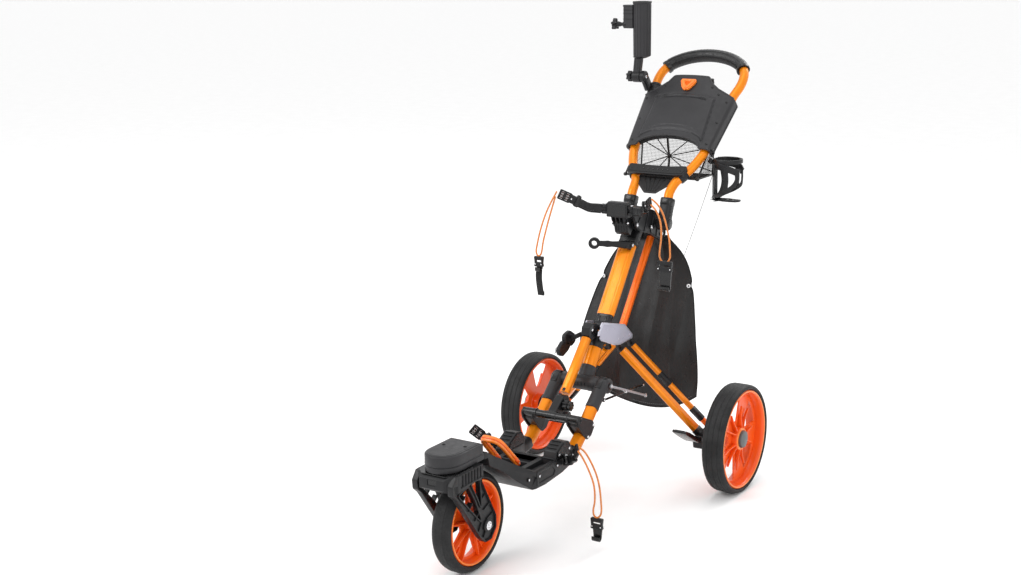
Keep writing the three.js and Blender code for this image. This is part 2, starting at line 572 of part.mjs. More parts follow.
// ---------------------------------------------------------------- elastic cords and their hooks
// Each cord leaves an arm tip, runs down to its hook, turns round and comes back to the arm.
const CORDS = {
  bungee_upper_right: [V(143, -156, 811), V(158, -153, 798), V(171, -151, 779), V(180, -150, 755),
    V(186, -150, 732), V(192, -150, 706), V(194, -150, 676), V(194, -150, 660), V(188, -150, 649),
    V(179, -150, 645), V(170, -150, 649), V(164, -150, 660), V(165, -151, 678), V(170, -154, 706),
    V(172, -157, 734), V(168, -158, 760), V(157, -159, 783), V(143.5, -160.5, 797)],
  bungee_upper_left: [V(-143, -156, 809), V(-149, -178, 781), V(-154, -197, 752), V(-156, -221, 712),
    V(-157, -236, 676), V(-157, -241, 660), V(-154, -241, 650), V(-150, -239, 647), V(-146, -236, 651),
    V(-144, -233, 662), V(-144, -227, 682), V(-144, -212, 712), V(-144, -194, 744), V(-144, -176, 773),
    V(-143.5, -162.5, 796)],
  bungee_lower_right: [V(161.5, -562, 263), V(173, -556, 252), V(190, -552, 225), V(204, -551, 195),
    V(212, -551, 166), V(216, -551, 130), V(217, -551, 104), V(214, -552, 92), V(207, -555, 87),
    V(201, -558, 92), V(200, -561, 106), V(205, -562, 132), V(203, -563, 174), V(188, -565, 214),
    V(174, -567, 240), V(162.5, -568.5, 256)],
};

function cords() {
  for (const [name, points] of Object.entries(CORDS)) {
    add(name, sweep(points, shapeOf(polygon(CORD_R, 8)), 36), CORD());
  }
  const hook = (x, y, top, length, width) => sidePlate([[y - 6, top], [y + 6, top], [y + 6, top - 26],
    [y + 3, top - length], [y - 9, top - length], [y - 10, top - length + 12], [y - 6, top - 26]],
  x - width / 2, x + width / 2);
  add('hook_upper_right', hook(179, -150, 642, 72, 44), BLACK());
  add('hook_lower_right', hook(207, -555, 84, 58, 34), BLACK());
  const tail = bar(V(-151, -239, 612), V(-153, -226, 536), V(1, 0, 0), 20, 3, 0.8);
  add('hook_upper_left', join(hook(-150.5, -238, 644, 40, 28), tail), BLACK());
}

centralHinge();
frontFrame();
releasePedal();
column();
upperHinge();
latchLever();
handle();
consolePanel();
basket();
cupHolder();
umbrellaHolder();
frontArm();
fork();
frontWheel();
rearLegs();
storageBag();
cords();

cart.position.set(0, ORIGIN_SHIFT_Y, 0);
export default cart;
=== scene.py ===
from math import cos, exp, pi, radians, sin, sqrt, tan

import bmesh
import bpy
from mathutils import Matrix, Vector
from mathutils import noise as mnoise


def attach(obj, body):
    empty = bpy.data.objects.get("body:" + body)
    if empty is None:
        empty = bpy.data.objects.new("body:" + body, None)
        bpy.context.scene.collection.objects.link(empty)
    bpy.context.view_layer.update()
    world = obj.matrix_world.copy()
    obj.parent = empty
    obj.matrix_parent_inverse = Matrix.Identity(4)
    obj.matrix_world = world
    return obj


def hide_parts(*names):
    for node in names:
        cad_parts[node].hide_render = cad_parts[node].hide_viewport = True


# Outlines and points are in millimetres, with x across the cart, y backwards and z up.
# V() and H() turn them into the frame's metres. Left and right parts share a loop over s = 1, -1.
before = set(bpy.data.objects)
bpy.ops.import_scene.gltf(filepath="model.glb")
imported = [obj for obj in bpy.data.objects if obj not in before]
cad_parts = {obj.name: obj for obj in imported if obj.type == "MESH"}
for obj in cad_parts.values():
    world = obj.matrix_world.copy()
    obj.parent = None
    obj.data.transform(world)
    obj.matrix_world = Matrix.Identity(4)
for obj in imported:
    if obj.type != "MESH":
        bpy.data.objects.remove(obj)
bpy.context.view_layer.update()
REAR_AXLE_Y = 226.0     # how far the rear axle, where the points' y starts, is behind the origin
X, Y, Z = Vector((1, 0, 0)), Vector((0, 1, 0)), Vector((0, 0, 1))
SIDES = ((1, "right"), (-1, "left"))


def V(x, y, z):
    """A point in the frame's metres, from millimetres with y counted from the rear axle."""
    return Vector((x / 1000, (y + REAR_AXLE_Y) / 1000, z / 1000))


def mirror(p):
    """The same point on the cart's other side."""
    return Vector((-p.x, p.y, p.z))


# ------------------------------------------------------------------ camera
def camera():
    """The main view: from the front and right, slightly above."""
    azimuth, elevation, roll = radians(33.376), radians(13.117), radians(-1.047)
    target, distance = Vector((-0.3998, 0.226, 0.4838)), 4.3853
    back = Vector((sin(azimuth) * cos(elevation), -cos(azimuth) * cos(elevation), sin(elevation)))
    level = Vector((cos(azimuth), sin(azimuth), 0))
    upright = back.cross(level)
    right = level * cos(roll) + upright * sin(roll)
    up = upright * cos(roll) - level * sin(roll)
    data = bpy.data.cameras.new("cam")
    data.lens = 53.28
    data.sensor_width = 36
    data.clip_end = 60
    cam = bpy.data.objects.new("cam", data)
    pose = Matrix((right, up, back)).transposed().to_4x4()
    pose.translation = target + back * distance
    cam.matrix_world = pose
    bpy.context.scene.collection.objects.link(cam)
    bpy.context.scene.camera = cam


# ------------------------------------------------------------------ materials
MATS = {}


def material(name, color, rough, metal=0.0, coat=0.0, vary=0.06, vary_scale=9.0, grain=900.0,
        grain_depth=0.00006, rough_vary=0.06, sheen=0.0, weave=0.0, dots=0.0, spec=0.5):
    """A principled material: mottled colour and gloss, slow waves, and grain, weave or dots."""
    m = bpy.data.materials.new(name)
    m.use_nodes = True
    nodes, link = m.node_tree.nodes, m.node_tree.links.new

    def fill(made, **inputs):
        for key, value in inputs.items():
            socket = made.inputs[key.replace("_", " ")]
            if isinstance(value, bpy.types.NodeSocket):
                link(value, socket)
            else:
                socket.default_value = value
        return made

    def node(kind, **inputs):
        return fill(nodes.new("ShaderNode" + kind), **inputs)

    place = node("TexCoord").outputs["Object"]

    def noise(scale, detail):
        return node("TexNoise", Vector=place, Scale=scale, Detail=detail).outputs["Fac"]

    mix = node("Mix")
    mix.data_type = "RGBA"
    mix.inputs[6].default_value = (*[max(0.0, c * (1 - vary)) for c in color], 1)
    mix.inputs[7].default_value = (*[min(1.0, c * (1 + vary) + vary * 0.01) for c in color], 1)
    patches = node("MapRange", Value=noise(vary_scale, 5), From_Min=0.35, From_Max=0.65)
    link(patches.outputs["Result"], mix.inputs[0])
    gloss = node("MapRange", Value=noise(vary_scale * 9, 6), From_Min=0.3, From_Max=0.7,
        To_Min=max(0.03, rough - rough_vary), To_Max=min(1.0, rough + rough_vary))
    height = noise(grain, 3)
    if weave:
        waves = [node("TexWave", Vector=place, Scale=weave, Distortion=0.6, Detail=1) for _ in "XZ"]
        for wave, direction in zip(waves, "XZ"):
            wave.wave_type = "BANDS"
            wave.bands_direction = direction
        higher = node("Math")
        higher.operation = "MAXIMUM"
        for wave, socket in zip(waves, higher.inputs):
            link(wave.outputs["Fac"], socket)
        height = higher.outputs[0]
    if dots:
        cells = node("TexVoronoi", Vector=place, Scale=dots)
        height = node("MapRange", Value=cells.outputs["Distance"], From_Min=0.12,
            From_Max=0.38).outputs["Result"]
    slow = node("Bump", Strength=1.0, Distance=0.00025, Height=noise(45, 2))
    fine = node("Bump", Strength=1.0, Distance=grain_depth, Height=height,
        Normal=slow.outputs["Normal"])
    bsdf = fill(nodes["Principled BSDF"], Metallic=metal, Roughness=gloss.outputs["Result"],
        Coat_Weight=coat, Specular_IOR_Level=spec, Coat_Roughness=0.08, Base_Color=mix.outputs[2],
        Normal=fine.outputs["Normal"])
    if sheen:
        fill(bsdf, Sheen_Weight=sheen, Sheen_Roughness=0.4)
    MATS[name] = m


def materials():
    painted = dict(metal=0.4, coat=0.2, spec=0.25, vary=0.07, grain=2600, grain_depth=0.00002)
    material("orange_metal", (0.76, 0.215, 0.0), 0.38, rough_vary=0.05, **painted)
    # A darker copy of orange_metal: painted shade on the link tube behind the column, the leg
    # links' lowest stretch, the grooves and the clip's recess.
    material("orange_shade", (0.76, 0.12, 0.0), 0.36, **painted)
    moulded = dict(coat=0.2, vary=0.05, grain=1500, grain_depth=0.00003)
    material("orange_plastic", (0.80, 0.09, 0.004), 0.36, spec=0.35, **moulded)
    # A paler orange; the thin lines along the rear legs are painted highlights in it.
    material("orange_pale_and_highlight", (0.84, 0.19, 0.008), 0.35, **moulded)
    material("orange_clip", (0.92, 0.2, 0.01), 0.38, coat=0.3, vary=0.06)
    material("slate", (0.021, 0.0205, 0.0225), 0.44, vary=0.16, grain=1500, grain_depth=0.00008,
        spec=0.32)
    material("charcoal", (0.0075, 0.0075, 0.0085), 0.4, vary=0.16, grain=1400, grain_depth=0.00007,
        spec=0.3)
    material("black_gloss", (0.006, 0.006, 0.0065), 0.26, vary=0.1, grain=1500, grain_depth=0.00003,
        coat=0.1, spec=0.35)
    material("black_deep", (0.004, 0.004, 0.0045), 0.5, vary=0.1, spec=0.2)
    material("brown", (0.06, 0.02, 0.014), 0.5, vary=0.2)
    material("cap_grey", (0.075, 0.08, 0.08), 0.4, vary=0.1)
    material("silver", (0.60, 0.60, 0.68), 0.34, metal=0.75, vary=0.05, grain=3000,
        grain_depth=0.00002)
    material("stay", (0.36, 0.36, 0.38), 0.4, metal=0.6, vary=0.08)
    material("lavender", (0.46, 0.455, 0.545), 0.42, metal=0.35, vary=0.06, grain=1800,
        grain_depth=0.00004)
    material("steel", (0.78, 0.78, 0.80), 0.2, metal=1.0, vary=0.04, grain=2600,
        grain_depth=0.00002)
    material("eyelet", (0.75, 0.75, 0.76), 0.35, metal=0.6, vary=0.05)
    material("tyre", (0.0085, 0.0085, 0.009), 0.6, spec=0.3, vary=0.3, vary_scale=30, grain=700,
        grain_depth=0.00018, rough_vary=0.12)
    material("grip", (0.015, 0.015, 0.0155), 0.42, spec=0.5, vary=0.2, dots=210, grain_depth=0.0016,
        rough_vary=0.1)
    material("nylon", (0.0065, 0.006, 0.0062), 0.36, spec=0.36, vary=0.22, vary_scale=14, weave=330,
        grain_depth=0.0001, rough_vary=0.1)
    material("webbing", (0.006, 0.006, 0.0065), 0.7, vary=0.2, weave=420, grain_depth=0.0003,
        sheen=0.08, spec=0.3)
    material("elastic", (0.62, 0.19, 0.03), 0.6, vary=0.18, vary_scale=240, weave=520,
        grain_depth=0.0002, sheen=0.2)
    material("cord_grey", (0.16, 0.16, 0.165), 0.6, vary=0.1, weave=700, grain_depth=0.0001)
    material("net", (0.005, 0.005, 0.0055), 0.65, vary=0.2, spec=0.3)
    material("net_fine", (0.008, 0.008, 0.009), 0.7, vary=0.2, weave=240, grain_depth=0.0006)
    material("floor", (0.93, 0.93, 0.93), 0.8, vary=0.01, grain_depth=0.00001, spec=0.1)


camera()
materials()


# ------------------------------------------------------------------ mesh helpers
def linked(name, data):
    o = bpy.data.objects.new(name, data)
    bpy.context.scene.collection.objects.link(o)
    return o


def raw(verts, faces, mat):
    """A smooth-shaded mesh from its points and faces."""
    me = bpy.data.meshes.new("tmp")
    me.from_pydata([tuple(v) for v in verts], [], faces)
    me.materials.append(MATS[mat])
    me.polygons.foreach_set("use_smooth", [True] * len(me.polygons))
    me.update()
    return linked("tmp", me)


def bevel(o, width, segments, angle):
    m = o.modifiers.new("bevel", "BEVEL")
    m.width = width / 1000
    m.segments = segments
    m.limit_method = "ANGLE"
    m.angle_limit = radians(angle)
    m.harden_normals = False


def evaluated(o):
    """The object's mesh with its modifiers applied."""
    dg = bpy.context.evaluated_depsgraph_get()
    dg.update()
    return bpy.data.meshes.new_from_object(o.evaluated_get(dg), depsgraph=dg)


def group(name, body, parts, nodes=(), sharp=38):
    """Joins the pieces into one mesh that moves with a CAD body and stands for the named nodes."""
    bm = bmesh.new()
    mats = []
    for o in parts:
        me = evaluated(o)
        me.transform(o.matrix_world)
        remap = []
        for m in me.materials:
            if m not in mats:
                mats.append(m)
            remap.append(mats.index(m))
        for p in me.polygons:
            p.material_index = remap[p.material_index] if remap else 0
        bm.from_mesh(me)
        bpy.data.meshes.remove(me)
        old = o.data
        bpy.data.objects.remove(o)
        if old.users == 0 and isinstance(old, bpy.types.Mesh):
            bpy.data.meshes.remove(old)
    me = bpy.data.meshes.new(name)
    bm.to_mesh(me)
    bm.free()
    for m in mats:
        me.materials.append(m)
    me.polygons.foreach_set("use_smooth", [True] * len(me.polygons))
    me.set_sharp_from_angle(angle=radians(sharp))
    o = linked(name, me)
    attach(o, body)
    if nodes:
        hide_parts(*nodes)
    return o


def catmull(points, count):
    """Evenly spaced points along a smooth curve through the given ones."""
    p = [Vector(q) for q in points]
    out = []
    for i in range(len(p) - 1):
        a = p[i - 1] if i else p[0] * 2 - p[1]
        b, c = p[i], p[i + 1]
        d = p[i + 2] if i + 2 < len(p) else p[-1] * 2 - p[-2]
        t0 = 0.0
        t1 = t0 + max((b - a).length, 1e-9) ** 0.5
        t2 = t1 + max((c - b).length, 1e-9) ** 0.5
        t3 = t2 + max((d - c).length, 1e-9) ** 0.5
        for k in range(24):
            t = t1 + (t2 - t1) * k / 24
            a1 = a * ((t1 - t) / (t1 - t0)) + b * ((t - t0) / (t1 - t0))
            a2 = b * ((t2 - t) / (t2 - t1)) + c * ((t - t1) / (t2 - t1))
            a3 = c * ((t3 - t) / (t3 - t2)) + d * ((t - t2) / (t3 - t2))
            b1 = a1 * ((t2 - t) / (t2 - t0)) + a2 * ((t - t0) / (t2 - t0))
            b2 = a2 * ((t3 - t) / (t3 - t1)) + a3 * ((t - t1) / (t3 - t1))
            out.append(b1 * ((t2 - t) / (t2 - t1)) + b2 * ((t - t1) / (t2 - t1)))
    out.append(p[-1])
    lens = [0.0]
    for a, b in zip(out, out[1:]):
        lens.append(lens[-1] + (b - a).length)
    res = []
    j = 0
    for i in range(count):
        want = lens[-1] * i / (count - 1)
        while j < len(lens) - 2 and lens[j + 1] < want:
            j += 1
        f = (want - lens[j]) / max(lens[j + 1] - lens[j], 1e-12)
        res.append(out[j].lerp(out[j + 1], min(max(f, 0), 1)))
    return res


def ring(r, n=24):
    """A circle of n points."""
    return [(r * cos(2 * pi * i / n), r * sin(2 * pi * i / n)) for i in range(n)]


def box_section(w, t, c, steps=3):
    """A rectangle w by t with rounded corners of radius c."""
    pts = []
    for cx, cy, a0 in ((w / 2 - c, t / 2 - c, 0), (-w / 2 + c, t / 2 - c, 90),
            (-w / 2 + c, -t / 2 + c, 180), (w / 2 - c, -t / 2 + c, 270)):
        for k in range(steps + 1):
            a = radians(a0 + 90 * k / steps)
            pts.append((cx + c * cos(a), cy + c * sin(a)))
    return pts


def hexed(w, t, c, r=1.2):
    """A rectangle with chamfered corners, each edge slightly rounded."""
    base = [(w / 2 - c, -t / 2), (w / 2, -t / 2 + c), (w / 2, t / 2 - c), (w / 2 - c, t / 2),
        (-w / 2 + c, t / 2), (-w / 2, t / 2 - c), (-w / 2, -t / 2 + c), (-w / 2 + c, -t / 2)]
    return rounded(base, r, 2)


def rounded(points, r, steps=4):
    """The polygon with its corners filleted; r is one radius or one per corner."""
    n = len(points)
    rs = r if isinstance(r, (list, tuple)) else [r] * n
    out = []
    for i in range(n):
        p0, p1, p2 = Vector(points[i - 1]), Vector(points[i]), Vector(points[(i + 1) % n])
        a, b = (p0 - p1), (p2 - p1)
        la, lb = a.length, b.length
        if rs[i] <= 0 or la < 1e-6 or lb < 1e-6:
            out.append(tuple(p1))
            continue
        a.normalize()
        b.normalize()
        angle = a.angle(b)
        if angle > radians(176) or angle < radians(4):
            out.append(tuple(p1))
            continue
        d = min(rs[i] / tan(angle / 2), la * 0.48, lb * 0.48)
        s, e = p1 + a * d, p1 + b * d
        for k in range(steps + 1):
            t = k / steps
            out.append(tuple(s * (1 - t) ** 2 + p1 * 2 * t * (1 - t) + e * t ** 2))
    return out


def offset(points, d):
    """The closed outline moved outwards by d along its corner bisectors."""
    n = len(points)
    area = sum(points[i - 1][0] * points[i][1] - points[i][0] * points[i - 1][1] for i in range(n))
    sign = 1 if area > 0 else -1
    out = []
    for i in range(n):
        p0, p1, p2 = Vector(points[i - 1]), Vector(points[i]), Vector(points[(i + 1) % n])
        a, b = (p1 - p0).normalized(), (p2 - p1).normalized()
        m = Vector((a.y, -a.x)) * sign + Vector((b.y, -b.x)) * sign
        out.append(tuple(p1 + m / max(m.length_squared / 2, 0.35) * d))
    return out


def eased(ends):
    """A scale for sweep() that is smaller at both ends of the path."""
    return lambda q: ends if q in (0, 1) else 1.0


def sweep(path, section, mat, side=None, scale=None):
    """Carries a section along points in metres; side is the direction its first axis starts in."""
    pts = [Vector(p) for p in path]
    n, k = len(pts), len(section)
    tang = [(pts[min(i + 1, n - 1)] - pts[max(i - 1, 0)]).normalized() for i in range(n)]
    x = Vector(side) if side is not None else Vector((0.3, 0.5, 0.8))
    x = (x - tang[0] * x.dot(tang[0])).normalized()
    verts = []
    for i in range(n):
        if i:
            x = tang[i - 1].rotation_difference(tang[i]) @ x
            x = (x - tang[i] * x.dot(tang[i])).normalized()
        y = tang[i].cross(x)
        f = scale(i / (n - 1)) if scale else 1.0
        fx, fy = f if isinstance(f, tuple) else (f, f)
        for a, b in section:
            verts.append(pts[i] + x * (a * fx / 1000) + y * (b * fy / 1000))
    faces = []
    for i in range(n - 1):
        for c in range(k):
            d = (c + 1) % k
            faces.append((i * k + c, i * k + d, (i + 1) * k + d, (i + 1) * k + c))
    faces.append(tuple(reversed(range(k))))
    faces.append(tuple(range((n - 1) * k, n * k)))
    return raw(verts, faces, mat)


def prism(a, b, section, mat, side, ends):
    """A straight sweep whose ends are eased over one millimetre."""
    d = (b - a).normalized() * 0.001
    return sweep([a, a + d, b - d, b], section, mat, side, eased(ends))


def bar(a, b, side, w, t, mat, c=1.5, edge=0.8):
    """A straight bar of rounded section with eased ends."""
    a, b = Vector(a), Vector(b)
    z = (b - a).normalized()
    e = edge / 1000
    pts = [a, a + z * e * 0.3, a + z * e, b - z * e, b - z * e * 0.3, b]
    shrink = [1 - 2 * edge / min(w, t) * f for f in (0.75, 0.25, 0, 0, 0.25, 0.75)]
    return sweep(pts, box_section(w, t, min(c, t * 0.45, w * 0.45)), mat, side,
        lambda q: shrink[round(q * 5)])


def across(z):
    """Two unit directions at right angles to z and to each other."""
    x = Z if abs(z.z) < 0.9 else X
    x = (x - z * x.dot(z)).normalized()
    return x, z.cross(x)


def lathe(profile, origin, axis, mat, seg=64, closed=False):
    """Turns (radius, height) pairs about an axis through origin."""
    z = Vector(axis).normalized()
    x, y = across(z)
    verts, faces, rows = [], [], []
    for r, h in profile:
        count = 1 if r < 1e-4 else seg
        rows.append([len(verts) + i % count for i in range(seg)])
        for i in range(count):
            a = 2 * pi * i / seg
            spoke = (x * cos(a) + y * sin(a)) * (r / 1000 if count > 1 else 0)
            verts.append(origin + z * (h / 1000) + spoke)
    pairs = list(zip(rows, rows[1:]))
    if closed:
        pairs.append((rows[-1], rows[0]))
    for ra, rb in pairs:
        for i in range(seg):
            j = (i + 1) % seg
            f = [ra[i], ra[j], rb[j], rb[i]]
            f = [v for q, v in enumerate(f) if v not in f[:q]]
            if len(f) > 2:
                faces.append(tuple(f))
    return raw(verts, faces, mat)


def barrel(hole, shoulder, r, half, flat):
    """A lathe profile from -half to half whose ends narrow from r to shoulder."""
    return [(hole, -half), (shoulder, -half), (r, -flat), (r, flat), (shoulder, half), (hole, half)]


def plate(outline, u, v, origin, thick, mat, holes=(), edge=0.8):
    """A flat piece with rounded edges: outline and holes on axes u and v."""
    cu = bpy.data.curves.new("plate", "CURVE")
    cu.dimensions = "2D"
    cu.fill_mode = "BOTH"
    cu.extrude = max(thick / 2 - edge, 0.01) / 1000
    cu.bevel_depth = edge / 1000
    cu.bevel_resolution = 2
    cu.offset = -edge / 1000
    for loop in [outline, *holes]:
        s = cu.splines.new("POLY")
        s.points.add(len(loop) - 1)
        for q, (a, b) in zip(s.points, loop):
            q.co = (a / 1000, b / 1000, 0, 1)
        s.use_cyclic_u = True
    o = linked("plate", cu)
    bpy.context.view_layer.update()
    me = evaluated(o)
    bpy.data.objects.remove(o)
    bpy.data.curves.remove(cu)
    x, y = Vector(u).normalized(), Vector(v).normalized()
    m = Matrix((x, y, x.cross(y))).transposed().to_4x4()
    m.translation = origin
    me.transform(m)
    me.materials.clear()
    me.materials.append(MATS[mat])
    return linked("plate", me)


def side_plate(outline, x0, x1, mat, holes=(), edge=0.8):
    """A piece whose side view is outline (y, z), from x0 to x1."""
    return plate(outline, Y, Z, V((x0 + x1) / 2, 0, 0), abs(x1 - x0), mat, holes, edge)


def top_plate(outline, z0, z1, mat, holes=(), edge=0.8):
    """A piece whose top view is outline (x, y), from z0 to z1."""
    return plate(outline, X, Y, V(0, 0, (z0 + z1) / 2), abs(z1 - z0), mat, holes, edge)


def bolt(at, axis, r=3.4, mat="steel", h=2.2):
    """A round-headed screw with a recess."""
    profile = [(0, h * 0.45), (r * 0.36, h * 0.45), (r * 0.4, h), (r * 0.72, h * 0.94),
        (r * 0.94, h * 0.62), (r, 0), (r, -1.0), (0, -1.0)]
    return lathe(profile, at, axis, mat, seg=20)


def disc(at, axis, r, h, mat, edge=0.8, seg=40):
    """A cylinder with eased rims, from at along axis."""
    e = edge
    profile = [(0, 0), (r - e, 0), (r - e * 0.3, e * 0.3), (r, e), (r, h - e),
        (r - e * 0.3, h - e * 0.3), (r - e, h), (0, h)]
    return lathe(profile, at, axis, mat, seg)


def knob(at, axis, r, h, mat, lobes, depth):
    """A lobed hand knob with a domed cap."""
    z = Vector(axis).normalized()
    x, y = across(z)
    turns = [2 * pi * i / 96 for i in range(96)]
    outline = [((r - depth + depth * cos(lobes * a)) * cos(a),
        (r - depth + depth * cos(lobes * a)) * sin(a))
        for a in turns]
    return [
        plate(outline, x, y, at + z * (h / 2000), h, mat, edge=min(2.0, h * 0.3)),
        lathe([(r * 0.55, 0), (r * 0.52, 0.9), (r * 0.4, 1.5), (0, 1.8)],
            at + z * ((h - 0.2) / 1000), z, mat, 32),
    ]


def carve(base, tools, op="DIFFERENCE"):
    """Cuts or intersects a solid with others and leaves the result in place of the first."""
    for t in tools:
        m = base.modifiers.new("cut", "BOOLEAN")
        m.operation = op
        m.object = t
        m.solver = "EXACT"
        me = evaluated(base)
        old = base.data
        base.modifiers.clear()
        base.data = me
        bpy.data.meshes.remove(old)
        used = t.data
        bpy.data.objects.remove(t)
        bpy.data.meshes.remove(used)
    return base


def box_between(a, b, mat="charcoal"):
    """An upright box from one corner to the other."""
    (x0, y0, z0), (x1, y1, z1) = a, b
    return top_plate([(x0, y0), (x1, y0), (x1, y1), (x0, y1)], z0, z1, mat, edge=0)


def piece(node, body, parts, slot):
    """The mesh that stands for one CAD node."""
    group(node + "_piece", body, parts, [node])


# ------------------------------------------------------------------ elastic cords
CORDS = {
    "bungee_upper_right": [(143, -156, 811), (158, -153, 798), (171, -151, 779), (180, -150, 755),
        (186, -150, 732), (192, -150, 706), (194, -150, 676), (194, -150, 660), (188, -150, 649),
        (179, -150, 645), (170, -150, 649), (164, -150, 660), (165, -151, 678), (170, -154, 706),
        (172, -157, 734), (168, -158, 760), (157, -159, 783), (143.5, -160.5, 797)],
    "bungee_upper_left": [(-143, -156, 809), (-149, -178, 781), (-154, -197, 752),
        (-156, -221, 712), (-157, -236, 676), (-157, -241, 660), (-154, -241, 650),
        (-150, -239, 647), (-146, -236, 651), (-144, -233, 662), (-144, -227, 682),
        (-144, -212, 712), (-144, -194, 744), (-144, -176, 773), (-143.5, -162.5, 796)],
    "bungee_lower_right": [(161.5, -562, 263), (173, -556, 252), (190, -552, 225), (204, -551, 195),
        (212, -551, 166), (216, -551, 130), (217, -551, 104), (214, -552, 92), (207, -555, 87),
        (201, -558, 92), (200, -561, 106), (205, -562, 132), (203, -563, 174), (188, -565, 214),
        (174, -567, 240), (162.5, -568.5, 256)],
}


def free_cord(name, path, diameter, mat, body, node):
    """A round cord of the given diameter along a path, moving with a CAD body."""
    o = group(name, body, [sweep(path, ring(diameter / 2, 12), mat)], node)
    return o


for cname, cpoints in CORDS.items():
    free_cord(cname + "_cord", catmull([V(*p) for p in cpoints], 96), 4.6, "elastic",
        cname.replace("bungee", "arm"), [cname])


def square_hook(x, y, top, length, width, body, node, name, tail=()):
    """A moulded cord end: a crossbar over the loop, two cheeks, a web and an open hook below."""
    parts = []
    w = width / 2
    parts += [
        plate(rounded([(-w, 0), (w, 0), (w - 2, -18), (w, -28), (-w, -28), (-w + 2, -18)], 3), X, Z,
            V(x, y, top), 9, "charcoal",
            holes=[rounded([(-w + 5, -16), (w - 5, -16), (w - 6, -10), (-w + 6, -10)], 1.5)],
            edge=1.0),
        plate(rounded([(-w + 4, -24), (w - 4, -24), (w - 7, -length + 4), (-w + 7, -length + 4)],
            4), X, Z, V(x, y + 3, top), 6, "black_gloss", edge=1.2),
    ]
    hookline = catmull([V(x, y + 2, top - length + 12), V(x, y + 1, top - length + 5),
        V(x, y - 3, top - length + 2.5), V(x, y - 7.5, top - length + 5),
        V(x, y - 8, top - length + 13)], 14)
    parts.append(sweep(hookline, box_section(width - 12, 4, 1.6), "black_gloss", side=X))
    for s in (-1, 1):
        parts += [
            bolt(V(x + s * (w - 5), y - 4.6, top - 21), -Y, 1.8, "steel", 1.0),
            bar(V(x + s * (w - 3), y - 6, top - 4), V(x + s * (w - 3), y + 6, top - 4), X, 3, 7,
                "charcoal"),
        ]
    if tail:
        line = catmull([V(*p) for p in tail], 30)
        parts.append(sweep(line, box_section(20, 1.8, 0.8), "webbing", side=X))
        end = line[-1]
        parts.append(bar(end + Z * 0.012, end - Z * 0.0005, X, 21, 3, "webbing"))
    group(name, body, parts, [node])


square_hook(179, -150, 650, 80, 44, "arm_upper_right", "hook_upper_right", "hook_upper_right_piece")
square_hook(207, -555, 86, 60, 34, "arm_lower_right", "hook_lower_right", "hook_lower_right_piece")
square_hook(-150.5, -238, 646, 42, 28, "arm_upper_left", "hook_upper_left", "hook_upper_left_piece",
    tail=[(-150.5, -238, 610), (-151, -239, 590), (-152, -234, 565), (-153, -228, 545),
        (-153, -226, 537)])


# ------------------------------------------------------------------ wheels
HALF_TRACK, REAR_RADIUS = 317, 148
FRONT_AXLE = (-807, 124)


def tyre_profile(radius, width, inner, grooves, round_edge):
    """The tyre's section, with a crowned tread and round shoulders."""
    h = width / 2
    pts = [(inner, -h + 6), (inner + 2, -h + 2), (inner + 5, -h + 0.4)]
    for k in range(1, 7):
        a = radians(90 * k / 6)
        pts.append((radius - round_edge + round_edge * sin(a) - 1.0,
            -h + 0.4 + round_edge * (1 - cos(a))))
    flat = h - round_edge - 0.6
    steps = 40
    for k in range(1, steps):
        x = -flat + 2 * flat * k / steps
        drop = 0.9 * (x / h) ** 2
        for g in grooves:
            d = abs(x - g)
            if d < 1.5:
                drop += 1.3 * (1 - (d / 1.5) ** 2)
        pts.append((radius - drop, x))
    low = pts[:9]
    pts += [(r, -x) for r, x in reversed(low)]
    return pts


def window(theta, r0, r1, spread0, spread1):
    """A teardrop opening in a wheel web."""
    pts = []
    for k in range(9):
        a = theta + radians(spread1) * (1 - 2 * k / 8)
        pts.append((r1 * cos(a), r1 * sin(a)))
    for k in range(5):
        a = theta - radians(spread0) * (1 - 2 * k / 4)
        pts.append((r0 * cos(a), r0 * sin(a)))
    return rounded(pts, [9] + [4] * 7 + [9] + [5] * 5, 3)


